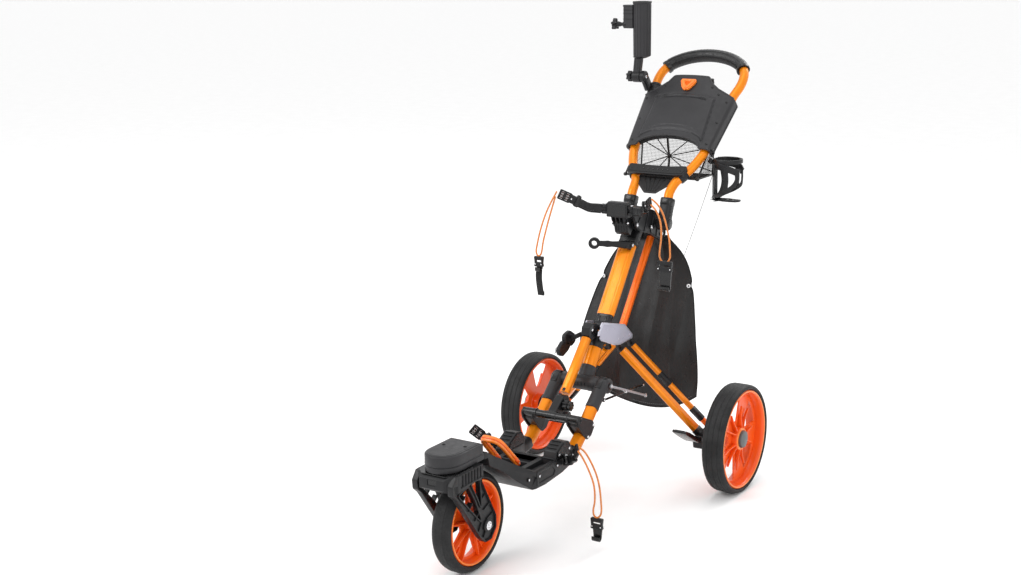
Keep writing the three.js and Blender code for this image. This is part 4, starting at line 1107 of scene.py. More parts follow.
def front_pieces():
    """The head cover, the folding front arm and the orange bag rest."""
    head = head_outline(46, -945, -790)
    lid = head_outline(46, -945, -806)
    parts = [
        top_plate(lid, 300.2, 325, "slate", edge=3.2),
        top_plate(offset(lid, -4), 318, 327, "slate", edge=2.6),
        top_plate(offset(lid, -9), 326, 327.6, "slate", edge=0.7),
        top_plate(offset(lid, 0.35), 300.1, 303.4, "slate", edge=1.0),
    ]
    for x, y in ((26, -850), (-26, -862)):
        parts += [
            disc(V(x, y, 327.5), Z, 4.2, 1.6, "black_gloss", 0.5, 20),
            bolt(V(x, y, 329), Z, 2.4, "black_gloss", 0.9),
        ]
    piece("head_cover", "front_arm", parts, "black_plastic")

    side = [(-482, 180), (-482, 213), (-650, 213), (-776, 290), (-790, 299.6), (-800, 299.6),
        (-800, 284), (-786, 284), (-780, 262), (-748, 243), (-724, 224), (-700, 202), (-655, 168),
        (-600, 166), (-520, 172)]
    plan = [(48, -481), (88, -481), (88, -644), (46, -762), (46, -802), (-46, -802), (-46, -762),
        (-88, -644), (-88, -481), (-48, -481), (-48, -546), (48, -546)]
    body = side_plate(side, -90, 90, "charcoal", edge=0)
    body = carve(body, [top_plate(plan, 150, 310, "charcoal", edge=0)], "INTERSECT")
    pockets = [
        box_between((-40, -640, 197), (40, -604, 230)),
        box_between((-40, -598, 201), (40, -556, 230)),
        box_between((54, -640, 200), (80, -560, 230)),
        box_between((-80, -640, 200), (-54, -560, 230)),
    ]
    tools = []
    for t in (-1, 1):
        rib = [(-690, 204), (-664, 180), (-655, 178), (-640, 196), (-656, 206), (-684, 222)]
        tools.append(side_plate(rib, t * 84, t * 95, "charcoal", edge=0))
        for x0, x1 in ((6, 22), (27, 41)):
            tools.append(top_plate([(t * x0, -738), (t * x1, -738), (t * x1, -672), (t * x0, -672)],
                236, 300, "charcoal", edge=0))
    body = carve(body, pockets)
    body = carve(body, tools)
    bevel(body, width=1.6, segments=2, angle=32)
    parts = [body]
    for s in (-1, 1):
        for y, z in ((-500, 197), (-545, 198), (-628, 196), (-664, 196)):
            x = 88 if y > -644 else 88 - (644 + y) / -118 * 42
            parts += [
                disc(V(s * (x - 0.2), y, z), s * X, 5.6, 1.4, "black_gloss", 0.4, 24),
                bolt(V(s * (x + 0.9), y, z), s * X, 3.3, "steel", 1.8),
            ]
        parts.append(side_plate(rounded([(-640, 172), (-640, 209), (-566, 209), (-548, 190),
            (-560, 173)], 5), s * 87.2, s * 89.6, "charcoal",
            [rounded([(-633, 178), (-633, 203), (-570, 203), (-556, 190), (-565, 179)], 4)],
            edge=0.7))
        parts += [bar(V(s * (56 - 3.2 * k), -650 - 12 * k, 214 + 7.2 * k),
            V(s * (80 - 6 * k), -650 - 12 * k, 214 + 7.2 * k), Y, 2.6, 3, "charcoal")
            for k in range(4)]
        parts += [
            lathe([(0, 60), (7.4, 60), (8.4, 61), (8.4, 84), (7.4, 85), (0, 85)], V(0, -498, 214),
                s * X, "charcoal", 32),
            bar(V(s * 50, -552, 215), V(s * 86, -552, 215), Y, 13, 6, "charcoal", c=2),
        ]
    parts += [
        top_plate(rounded([(-47, -546.5), (47, -546.5), (47, -556), (-47, -556)], 2), 170, 214.6,
            "charcoal", edge=1.2),
        sweep([V(-84, -652, 172), V(84, -652, 172)], box_section(5, 8, 2), "black_gloss", side=Y),
    ]
    neck = offset(head, -0.4)
    parts.append(top_plate(neck, 284.4, 299.6, "slate", edge=2.4))
    for s in (-1, 1):
        socket = rounded([(-478, 205), (-471, 222), (-486, 244), (-514, 250), (-546, 233),
            (-556, 208)], [2, 6, 8, 9, 9, 2], 4)
        parts += [
            side_plate(socket, s * 51, s * 88, "charcoal", edge=2.4),
            side_plate(offset(socket, -5), s * 50, s * 89.4, "black_gloss", edge=0.9),
        ]
        parts += [bar(V(s * 56, -516 - 11 * k, 249.6 - 6 * k),
            V(s * 83, -516 - 11 * k, 249.6 - 6 * k), Y, 5, 3, "charcoal", c=1)
            for k in range(3)]
        parts += [bolt(V(s * 89, y, z), s * X, 3.3, "steel", 2)
            for y, z in ((-488, 226), (-536, 222))]
    parts.append(top_plate(offset(head, -6), 281.9, 285, "black_gloss", edge=1.0))
    piece("front_arm", "front_arm", parts, "black_plastic")

    loop = catmull([V(28, -634, 221), V(27, -668, 256), V(25.5, -696, 285), V(18, -710, 298.5),
        V(0, -713, 300.6), V(-18, -710, 298.5), V(-25.5, -696, 285), V(-27, -668, 256),
        V(-28, -634, 221)], 60)
    parts = [sweep(loop, box_section(17, 9.5, 3.4), "orange_pale_and_highlight", side=(0, 0.64, 0.77))]
    parts.append(sweep(loop, box_section(2.6, 12.4, 1), "orange_plastic", side=(0, 0.64, 0.77)))
    for k in (-1, 1):
        foot = V(k * 28, -634, 221)
        parts += [
            disc(foot + Vector((0, 0.001, -0.001)), (0, 0.69, -0.72), 7.2, 4, "orange_plastic", 1.2,
                28),
            bolt(foot + X * (k * 0.0065), k * X, 3, "steel", 1.6),
        ]
        d = (V(k * 27, -668, 256) - foot).normalized()
        parts.append(bar(foot - d * 0.001, foot + d * 0.02, X, 15.5, 10.5, "orange_plastic", c=3.5))
    piece("bag_rest", "bag_rest", parts, "orange_plastic")


front_pieces()


# ------------------------------------------------------------------ fork and axle
def fork_pieces():
    """The front fork with its pierced cheeks, and the axle."""
    ay, az = FRONT_AXLE
    arm = rounded([(-932, 283), (-948, 262), (-946, 240), (-930, 226), (ay - 32, az - 22),
        (ay - 14, az - 38), (ay + 12, az - 38), (ay + 34, az - 14), (ay + 34, az + 16),
        (ay - 22, az + 118), (ay - 18, 283)], [3, 8, 9, 10, 14, 9, 9, 12, 10, 12, 2], 4)
    front_gap = rounded([(-924, 236), (-884, 243), (-858, 200), (-832, 140)], [5, 5, 5, 3], 3)
    rear_gap = rounded([(-872, 247), (-838, 249), (-833, 176), (-848, 208)], [4, 4, 2, 3], 3)
    parts = []
    for s in (-1, 1):
        parts += [
            side_plate(offset(arm, -0.4), s * 46.5, s * 53.5, "charcoal", [front_gap, rear_gap],
                edge=0.5),
            side_plate(arm, s * 42.2, s * 57.8, "charcoal", [offset(arm, -4)], edge=0.9),
        ]
        parts += [side_plate(offset(gap, 3.2), s * 43, s * 57, "charcoal", [gap], edge=0.7)
            for gap in (front_gap, rear_gap)]
        parts += [bar(V(s * 50, *a), V(s * 50, *b), X, 14.6, 2.0, "charcoal", c=0.6)
            for a, b in (((-908, 214), (-896, 226)), ((-884, 184), (-868, 200)),
                ((-860, 152), (-844, 168)), ((-848, 118), (-832, 140)), ((-800, 178), (-824, 168)),
                ((-816, 206), (-834, 196)), ((-786, 150), (-812, 142)), ((-826, 100), (-818, 112)))]
        parts.append(lathe([(8.2, 41.6), (15, 41.6), (16.4, 43), (16.4, 57), (15, 58.6),
            (8.2, 58.6)], V(0, ay, az), s * X, "charcoal", 40, closed=True))
        for k in range(7):
            y = -906 + 12 * k
            parts.append(bar(V(s * 57, y, 253), V(s * 57, y, 281), X, 6, 3.2, "charcoal", c=1))
        parts.append(bar(V(s * 57.4, -914, 252.4), V(s * 57.4, -826, 252.4), X, 5.6, 3.2,
            "charcoal", c=1))
    crown = side_plate([(-950, 250), (-950, 274), (-936, 283.2), (-824, 283.2), (-824, 254),
        (-936, 240)], -60, 60, "charcoal", edge=0)
    shape = top_plate([(34, -950), (58, -926), (58, -824), (-58, -824), (-58, -926), (-34, -950)],
        230, 290, "charcoal", edge=0)
    crown = carve(crown, [shape], "INTERSECT")
    tools = [box_between((s * 52.6, -912 + 12 * k, 256), (s * 62, -902 + 12 * k + 1, 278))
        for s in (-1, 1) for k in range(6)]
    tools.append(box_between((-12, -953, 258), (12, -947.5, 272)))
    crown = carve(crown, tools)
    bevel(crown, width=1.8, segments=3, angle=32)
    parts += [
        crown,
        box_between((-11.2, -948.2, 259), (11.2, -947, 271), "black_gloss"),
        top_plate(offset(rounded([(34, -950), (58, -926), (58, -850), (-58, -850), (-58, -926),
            (-34, -950)], 6), -5), 282, 283.6, "black_gloss", edge=0.4),
    ]
    piece("fork", "fork", parts, "black_plastic")
    parts = [lathe(barrel(0, 5.6, 6, 61.6, 61), V(0, ay, az), X, "steel", 32)]
    for s in (-1, 1):
        parts += [
            lathe([(6.1, 58.7), (10.2, 58.7), (10.6, 59), (10.6, 59.8), (6.1, 60)], V(0, ay, az),
                s * X, "steel", 36, closed=True),
            bolt(V(s * 60, ay, az), s * X, 5.4, "steel", 5.4),
        ]
    piece("front_axle", "fork", parts, "silver_metal")


fork_pieces()


# ------------------------------------------------------------------ upper hinge, bracket and latch
def upper_pieces():
    """The hinge at the column's top, the bag bracket and the latch lever."""
    outline = rounded([(-60, 744), (-38, 704), (-14, 690), (40, 676), (98, 648), (124, 648),
        (134, 664), (112, 712), (62, 738), (0, 758), (-54, 770)],
        [4, 10, 8, 14, 12, 9, 9, 16, 16, 10, 4], 4)
    web = rounded([(-60, 744), (-54, 770), (0, 758), (36, 746), (36, 736), (-20, 736), (-50, 728)],
        4)
    parts = []
    for s in (-1, 1):
        parts += [
            side_plate(outline, s * 29.2, s * 33.4, "charcoal", edge=0.8),
            side_plate(outline, s * 29, s * 35.6, "charcoal", [offset(outline, -4)], edge=0.7),
        ]
        parts += [bar(V(s * 34, *a), V(s * 34, *b), X, 3.4, 2.6, "charcoal", c=0.8)
            for a, b in (((-30, 712), (6, 752)), ((8, 688), (34, 742)), ((44, 678), (64, 734)),
                ((78, 662), (92, 720)))]
        for y, z, r in ((47, 694, 5), (-34, 713, 5), (-12, 737, 5), (108, 664, 4.2)):
            parts += [
                disc(V(s * 34, y, z), s * X, r + 2.8, 2.0, "black_gloss", 0.6, 28),
                bolt(V(s * 35.6, y, z), s * X, r, "steel", 2.6),
            ]
        parts.append(side_plate(rounded([(-48, 738), (-42, 764), (-8, 756), (-12, 738)], 4), s * 34,
            s * 36.6, "black_gloss", edge=0.8))
    parts.append(side_plate(web, -29.6, 29.6, "charcoal", edge=1.2))
    parts += [side_plate([(-48, 730), (-40, 706), (-18, 692), (-10, 700), (-22, 735)],
        -24 + 12 * k - 1.2, -24 + 12 * k + 1.2, "charcoal", edge=0.3)
        for k in range(5)]
    parts += [
        side_plate(rounded([(-22, 734), (-38, 712), (-18, 696), (24, 686), (30, 732)], 4), -27.5,
            -23.5, "charcoal", edge=0.6),
        side_plate(rounded([(-22, 734), (-38, 712), (-18, 696), (24, 686), (30, 732)], 4), 23.5,
            27.5, "charcoal", edge=0.6),
    ]
    parts += [bar(V(-27, -30 + 16 * k, 760.5 - 4 * k), V(27, -30 + 16 * k, 760.5 - 4 * k), Y, 3,
        2.4, "black_gloss")
        for k in range(4)]
    piece("upper_hinge", "upper", parts, "black_plastic")

    front = rounded([(-32, 738), (32, 738), (32, 776), (26, 778), (-26, 778), (-32, 776)], 2.4)
    parts = [
        plate([(a, b - 758) for a, b in front], X, Z, V(0, -72.4, 758), 23.4, "charcoal", edge=1.8),
        plate([(a * 0.86, (b - 758) * 0.8) for a, b in front], X, Z, V(0, -84.2, 758), 1.2,
            "black_gloss", edge=0.4),
        top_plate(rounded([(-29, -82), (29, -82), (29, -63), (-29, -63)], 2.5), 777, 779.2,
            "charcoal", edge=0.8),
    ]
    for s in (-1, 1):
        parts += [
            lathe([(7.7, 5.5), (10.4, 5.5), (11, 6.5), (11, 12.4), (7.7, 12.4)],
                V(s * 40, -74, 758), Z, "charcoal", 32, closed=True),
            lathe([(7.7, -12.4), (11, -12.4), (11, -6.5), (10.4, -5.5), (7.7, -5.5)],
                V(s * 40, -74, 758), Z, "charcoal", 32, closed=True),
        ]
    parts += [side_plate(rounded([(-62, 740), (-82, 740), (-78, 728), (-62, 714)], 2), x - 1.4,
        x + 1.4, "charcoal", edge=0.4)
        for x in (-18, -6, 6, 18)]
    parts += [
        plate(rounded([(-26, -12), (26, -12), (22, 8), (-22, 8)], 3), X, Z, V(0, -64, 726), 3.2,
            "charcoal", edge=0.8),
        bolt(V(24, -66, 722), -Y, 3, "steel", 1.4),
        bolt(V(-24, -66, 722), -Y, 3, "steel", 1.4),
    ]
    stem = rounded([(-68, 740), (-38, 740), (-34, 700), (-46, 684), (-58, 694)], 4)
    parts.append(side_plate(stem, -21, 21, "charcoal", edge=1.4))
    parts += [bar(V(x, -66.5, 736), V(x, -57.5, 696), X, 3, 4, "charcoal", c=1)
        for x in (-16, -8, 0, 8, 16)]
    piece("bag_bracket", "upper", parts, "black_plastic")

    root, tip = V(18, -44, 658), V(-72, -80, 661)
    d = (tip - root).normalized()
    wide = Z.cross(d).normalized()
    line = [root.lerp(tip, q) for q in (-0.06, 0.0, 0.15, 0.3, 0.5, 0.62, 0.74, 0.86)]
    widths = [0.7, 1.05, 1.1, 0.92, 0.78, 0.95, 0.82, 0.8]
    parts = [
        sweep(line, box_section(12.5, 19, 4), "charcoal", side=wide,
            scale=lambda q: widths[round(q * 7)]),
        lathe([(8.2, -7), (13.6, -7), (15.6, -5), (15.6, 5), (13.6, 7), (8.2, 7), (7.6, 6),
            (7.6, -6)], tip, wide, "charcoal", 40, closed=True),
    ]
    parts += [sweep([root.lerp(tip, 0.08) + wide * k * 0.0045 + Z * 0.0049,
        root.lerp(tip, 0.8) + wide * k * 0.003 + Z * 0.0049], ring(1.1, 8), "black_gloss")
        for k in (-1, 1)]
    parts += [
        lathe([(0, -12.5), (6, -12.5), (7, -11.4), (7, 7), (6, 8), (0, 8)], root, (0, 0.595, 0.804),
            "charcoal", 32),
        bolt(root + X * 0.009, X, 4.4, "steel", 2.4),
        disc(root + X * 0.0075, X, 6.6, 2, "black_gloss", 0.5, 24),
        bolt(root.lerp(tip, 0.72) + Z * 0.0052, Z, 2.6, "steel", 1.2),
    ]
    for q in (0.2, 0.26, 0.32, 0.38):
        c = root.lerp(tip, q) + Z * 0.0052
        parts.append(bar(c - wide * 0.0045, c + wide * 0.0045, d, 1.6, 1.4, "charcoal", c=0.5))
    piece("latch_lever", "latch", parts, "black_plastic")


upper_pieces()


# ------------------------------------------------------------------ handle frame
def H(x, s, off=0.0):
    """A point on the handle's plane: x across, s up along the tubes, off out of the plane."""
    return V(x, 120 + 0.7273 * s - 0.6863 * off, 789 + 0.6863 * s + 0.7273 * off)


SV = Vector((0, 0.7273, 0.6863))
OV = Vector((0, -0.6863, 0.7273))
HOOP = [(57, -11), (62, 24), (80, 55), (92, 77), (104, 110), (109, 130), (118, 230), (125, 338),
    (133, 375), (134, 402), (128, 430), (110, 456), (78, 476), (40, 488)]


def grid(rows, mat, closed=False):
    """A surface through rows of points, counter-clockwise seen from outside."""
    n, k = len(rows), len(rows[0])
    verts = [p for r in rows for p in r]
    faces = []
    for i in range(n - 1):
        for j in range(k if closed else k - 1):
            q = (j + 1) % k
            faces.append((i * k + j, i * k + q, (i + 1) * k + q, (i + 1) * k + j))
    return raw(verts, faces, mat)


def shell(o, thick):
    """Gives an open surface its thickness."""
    m = o.modifiers.new("shell", "SOLIDIFY")
    m.thickness = thick / 1000
    m.offset = -1
    return o


def smooth(t):
    """A soft step from 0 to 1."""
    t = min(max(t, 0.0), 1.0)
    return t * t * (3 - 2 * t)


def console_top(x):
    a = abs(x)
    if a < 54:
        return 372
    if a < 68:
        return 372 - (a - 54) / 14 * 20
    if a < 92:
        return 352 - (a - 68) / 24 * 16
    return 336 - (a - 92) / 51 * 18


def console_bottom(x):
    return 133 + 33 * sqrt(max(0, 1 - (x / 98) ** 2)) if abs(x) < 98 else 133


def console_half(s):
    """Half the console's width at s along the handle."""
    return 129 + 14 * (min(s, 318) - 133) / 185


def console_lift(x, s):
    """How far the console's top stands off the handle's plane."""
    t = min(max((s - 133) / 235, 0), 1)
    return 16.5 + (12 + 20 * t) * max(0, 1 - (abs(x) / console_half(s)) ** 2.4)


def console_relief(x, s):
    """The inner panel that stands proud, its groove, and the finger slot under the clip."""
    side = 101 - abs(x) - 0.05 * (s - 133)
    inside = min(side, s - console_bottom(x) - 20, 300 + 8 * cos(x / 70) - s)
    lift = 1.9 * smooth(inside / 4) - 1.5 * exp(-((inside + 1.0) / 1.7) ** 2)
    slot = abs(s - (289 + 8 * cos(x / 70))) - 2.0
    if abs(x) < 74:
        lift -= 4.2 * smooth(1 - slot / 1.6) * smooth((74 - abs(x)) / 9)
    crease = abs(s - console_bottom(x) - 33) - 0.8
    if abs(x) < 82:
        lift -= 1.1 * smooth(1 - crease / 1.2) * smooth((82 - abs(x)) / 10)
    return lift


def handle_pieces():
    """The hoop, its grip, the collars at its feet and the crossbar with its pouch."""
    half = [V(57, 104 + 0.342 * t, 766 + 0.94 * t)
        for t in (-14, 0.4, 7)] + [H(x, s) for x, s in HOOP]
    pts = half + [H(0, 492)] + [mirror(p) for p in reversed(half)]
    path = catmull(pts, 260)
    piece("handle_hoop", "handle", [sweep(path, ring(13, 32), "orange_metal")], "orange_metal")

    top = [(122.5, 439), (110, 456), (78, 476), (40, 488), (0, 492), (-40, 488), (-78, 476),
        (-110, 456), (-122.5, 439)]
    line = catmull([H(*p) for p in top], 130)
    bump = lambda q: 1.0 + 0.012 * sin(q * 190) + 0.05 * smooth(1 - min(q,
        1 - q) / 0.02) + 0.03 * sin(pi * q)
    parts = [sweep(line, ring(18.2, 36), "grip", scale=bump)]
    for i, vert in enumerate(parts[0].data.vertices):
        row, col = divmod(i, 36)
        if 5 < row < 124 and (row + col) % 2:
            vert.co = line[row] + (vert.co - line[row]) * 0.95
    parts += [sweep(ends, ring(19.6, 36), "black_gloss") for ends in (line[:5], line[-5:])]
    for i in range(3, 127, 2):
        p = line[i]
        t = (line[i + 1] - line[i - 1]).normalized()
        across = t.cross(OV).normalized()
        under = -across if across.dot(SV) > 0 else across
        base = p + under * 0.0150 + OV * 0.0108
        parts.append(bar(base - t * 0.0016 - OV * 0.002, base + t * 0.0016 + OV * 0.002, under, 1.6,
            1.4, "charcoal", c=0.5, edge=0.2))
    seam = [p + OV * 0.0184 for p in line[4:126]]
    parts.append(sweep(seam, ring(0.8, 8), "charcoal"))
    piece("grip", "handle", parts, "grip_rubber")

    base, high = V(57, 80, 700), V(57, 104, 766)
    d = (high - base).normalized()
    for s, word in SIDES:
        b, h = (base, high) if s > 0 else (mirror(base), mirror(high))
        parts = [
            sweep([b, b + d * 0.01, b.lerp(h, 0.4), h - d * 0.012, h - d * 0.001, h],
                box_section(35, 34, 11, 4), "charcoal", side=X,
                scale=lambda q: (1, 1, 0.98, 1.0, 1.0, 0.95)[round(q * 5)]),
            lathe(barrel(0, 16.6, 18.8, 17.5, 15.4), b, X, "charcoal", 48),
            sweep([h - d * 0.02, h - d * 0.019, h - d * 0.003, h - d * 0.002],
                box_section(37, 36, 12, 4), "black_gloss", side=X, scale=eased(0.97)),
        ]
        for sx in (-1, 1):
            parts += [
                disc(b + X * sx * 0.0174, sx * X, 13, 2, "black_gloss", 0.6, 32),
                bolt(b + X * sx * 0.019, sx * X, 5, "charcoal" if sx * s < 0 else "cap_grey", 1.6),
            ]
        for k in range(4):
            c = b.lerp(h, 0.34 + 0.12 * k) + X * s * 0.0175
            parts.append(bar(c - Vector((0, 0.009, 0)), c + Vector((0, 0.009, 0)), Z, 2.4, 1.2,
                "charcoal", c=0.4))
        piece(f"handle_collar_{word}", "handle", parts, "black_plastic")

    edge = rounded([(-88, 34), (-60, 31), (60, 31), (88, 34), (94, 52), (88, 66), (40, 62),
        (-40, 62), (-88, 64)], [7, 8, 8, 7, 7, 6, 10, 10, 7], 4)
    parts = [
        plate(edge, X, SV, H(0, 0, 18.4), 9.6, "charcoal", edge=1.6),
        plate(offset(edge, -6), X, SV, H(0, 0, 23.4), 1.0, "black_gloss", edge=0.4),
    ]
    for k in range(6):
        parts += [
            disc(H(-38 + 15 * k, 47.5, 23.8), OV, 2.6, 0.9, "charcoal", 0.3, 20),
            disc(H(-38 + 15 * k, 47.5, 24.3), OV, 1.2, 0.9, "cap_grey", 0.2, 12),
        ]
    for s in (-1, 1):
        parts += [
            lathe(barrel(13.4, 15.8, 17.2, 13, 11), H(s * 74, 47),
                (H(s * 80, 55) - H(s * 62, 24)).normalized(), "charcoal", 40, closed=True),
            bolt(H(s * 76, 46, 17), OV, 2.8, "black_gloss", 8),
        ]
    apron = rounded([(-58, 36), (58, 36), (46, 6), (18, -22), (-18, -22), (-46, 6)],
        [3, 3, 12, 10, 10, 12], 4)
    parts += [
        plate(apron, X, SV, H(0, 0, 3.6), 2.6, "nylon", edge=0.8),
        plate(offset(apron, -7), X, SV, H(0, 0, 5.0), 0.8, "net_fine", edge=0.2),
    ]
    for k in range(5):
        x = -32 + 16 * k
        parts.append(bar(H(x * 0.4, -16, 5.6), H(x, 30, 5.6), X, 2.4, 2.0, "nylon", c=0.6))
    piece("handle_crossbar", "handle", parts, "black_plastic")


def console_pieces():
    """The console's shell with its lips and screws, and the orange clip."""
    rows = []
    for i in range(81):
        v = i / 80
        h = console_half(133 + 185 * v)
        s0 = 133 + 185 * v
        row = [H(-h, s0, o) for o in (-14, -7, 0, 6, 11)] + [H(-h + 1.2, s0, 14.6),
            H(-h + 3.4, s0, 17)]
        for j in range(141):
            x = (h - 6) * (-1 + j / 70)
            s = console_bottom(x) + (console_top(x) - console_bottom(x)) * v
            row.append(H(x, s, console_lift(x, s) + console_relief(x, s)))
        row += [H(h - 3.4, s0, 17),
            H(h - 1.2, s0, 14.6)] + [H(h, s0, o) for o in (11, 6, 0, -7, -14)]
        rows.append(row)
    parts = [shell(grid(rows, "slate"), 3.4)]
    arch = [H(x, console_bottom(x) + 0.5, console_lift(x, console_bottom(x)) - 1.2)
        for x in [98 * sin(radians(-90 + 3 * k)) for k in range(61)]]
    left = [H(-128.4, 133.6, o) for o in (-13, 0, 10)] + [H(-124, 133.6, 15.5), H(-112, 133.6, 19)]
    right = [mirror(p) for p in reversed(left)]
    parts.append(sweep(catmull(left + arch + right, 160), box_section(5.2, 6.4, 2.4), "slate",
        side=OV))
    lip = [H(x, console_bottom(x) + 1.6, console_lift(x, console_bottom(x)) - 11)
        for x in range(-94, 95, 4)]
    parts.append(sweep(lip, box_section(19, 3.2, 1.2), "black_deep", side=OV))
    crest = [H(x, console_top(x) - 0.8, console_lift(x, console_top(x)) - 1.4)
        for x in range(-140, 141, 4)]
    parts.append(sweep(crest, box_section(4.8, 6.0, 2.2), "slate", side=OV))
    for s in (-1, 1):
        parts.append(sweep([H(s * (console_half(t) - 0.4), t, -13) for t in range(135, 319, 6)],
            box_section(4.4, 4.4, 1.8), "slate", side=X))
        for x, t in ((116, 150), (121, 226), (126, 300), (74, 338), (98, 318), (96, 160)):
            p = H(s * x, t, console_lift(x, t) + console_relief(x, t) + 0.1)
            parts += [
                disc(p, OV, 3.6, 1.2, "black_gloss", 0.4, 20),
                bolt(p + OV * 0.0007, OV, 2.1, "black_deep", 0.6),
            ]
        parts += [
            lathe([(0, -11), (4.6, -11), (5.4, -10), (5.4, 7), (6.4, 8), (6.4, 11), (5, 12),
                (0, 12.2)], H(s * 57, 369, 22), (OV + SV * 0.5).normalized(), "charcoal", 28),
            bar(H(s * 57, 356, 26), H(s * 57, 372, 25), X, 13, 7, "charcoal", c=2.4),
        ]
        hook = catmull([H(s * 126, 142, 6), H(s * 133, 141, 4), H(s * 136, 139, -2),
            H(s * 133, 137, -8)], 12)
        parts.append(sweep(hook, ring(3.6, 14), "black_gloss"))
    parts.append(sweep(catmull([H(-57, 376, 28), H(0, 374.5, 29.5), H(57, 376, 28)], 20),
        ring(0.9, 8), "cord_grey"))
    piece("console", "handle", parts, "black_plastic")

    outline = rounded([(-22, 354), (22, 354), (24, 346), (15, 326), (8, 317), (-8, 317), (-15, 326),
        (-24, 346)], [4, 4, 4, 4, 4, 4, 4, 4], 4)
    mid = console_lift(0, 335)
    tri = rounded([(-11, 345), (11, 345), (0, 326)], 3, 3)
    parts = [
        plate(outline, X, SV, H(0, 0, mid + 4.6), 8.4, "orange_clip", [tri], edge=1.6),
        # The recess's floor in darker orange: painted shade.
        plate(offset(tri, 0.6), X, SV, H(0, 0, mid + 3.6), 4, "orange_shade", edge=0.3),
        plate(offset(outline, -4), X, SV, H(0, 0, mid + 9.4), 1.6, "orange_clip",
            [offset(tri, 2.4)], edge=0.6),
    ]
    parts += [bolt(H(s * 16, 349, mid + 8.8), OV, 2.2, "orange_shade", 1.0) for s in (-1, 1)]
    piece("console_clip", "clip", parts, "orange_plastic")


NET_WIRE = 1.05


def net(a, b, pitch):
    """A knotted net over a patch given by its two end rows (lists of points), with real strands."""
    n = max(3, round((a[-1] - a[0]).length * 1000 / pitch))
    m = max(3, round((b[0] - a[0]).length * 1000 / pitch))

    def at(u, v):
        k = len(a) - 1
        i = min(int(u * k), k - 1)
        f = u * k - i
        return a[i].lerp(a[i + 1], f).lerp(b[i].lerp(b[i + 1], f), v)
    verts = [at(i / n, j / m) for j in range(m + 1) for i in range(n + 1)]
    faces = [(j * (n + 1) + i, j * (n + 1) + i + 1, (j + 1) * (n + 1) + i + 1,
        (j + 1) * (n + 1) + i)
        for j in range(m) for i in range(n)]
    o = raw(verts, faces, "net")
    w = o.modifiers.new("wire", "WIREFRAME")
    w.thickness = NET_WIRE / 1000
    w.use_boundary = True
    w.use_even_offset = False
    return o


def basket_pieces():
    """A soft net tray: knotted net on four sides, sewn hems and radial cords from a hub."""
    half = 113
    xs = [-half + 2 * half * k / 16 for k in range(17)]
    sag = [4.0 * (1 - (x / half) ** 2) for x in xs]
    back = [[V(x, 263 + g, 813.5), V(x, 274 + g, 914)] for x, g in zip(xs, sag)]
    floor = [[V(x, 169, 812.8), V(x, 263, 813 - g)] for x, g in zip(xs, sag)]
    parts = [net(*zip(*back), 4.3), net(*zip(*floor), 4.6)]
    for s in (-1, 1):
        low_edge = [V(s * half, 169 + 94 * k / 8, 813) for k in range(9)]
        high_edge = [V(s * half, 169 + 105 * k / 8, 813 + min(101, 101 * (k / 8) * 1.12))
            for k in range(9)]
        parts.append(net(low_edge, high_edge, 4.6))
        hem = [V(s * half, 168, 812.6), V(s * half, 215, 858), V(s * half, 261, 902),
            V(s * half, 274, 913)]
        parts += [
            sweep(catmull(hem, 24), ring(2.4, 12), "nylon"),
            sweep([V(s * half, 168, 812.6), V(s * half, 264, 813)], ring(2.1, 12), "nylon"),
            sweep([V(s * half, 263, 813), V(s * half, 274, 913)], ring(2.1, 12), "nylon"),
            lathe(barrel(0, 4.2, 4.8, 4, 3), V(s * half, 169, 813), X, "black_gloss", 20),
        ]
    parts += [sweep([V(-half, y, z), V(half, y, z)], ring(2.3, 12), "nylon")
        for y, z in ((168, 812.6), (264, 812.6), (274, 913))]
    hub = V(-24, 266, 858)
    parts.append(disc(hub - Vector((0, 0.001, 0)), -Y, 5, 2.4, "black_gloss", 0.6, 24))
    parts += [sweep([hub, V(x, 263 + (z - 813) * 0.11, z)], ring(1.5, 10), "nylon")
        for x, z in ((-113, 898), (-74, 913), (44, 913), (113, 890), (113, 822), (40, 813),
            (-66, 813), (-113, 826))]
    for z, x in ((913, -34), (813, -28)):
        mid = V((x - 24) / 2 + 2, 264.5, (z + 858) / 2)
        parts.append(sweep(catmull([hub, mid, V(x, 263 + (z - 813) * 0.11, z)], 12),
            box_section(7, 2, 0.9), "nylon", side=X))
    piece("basket", "handle", parts, "nylon")


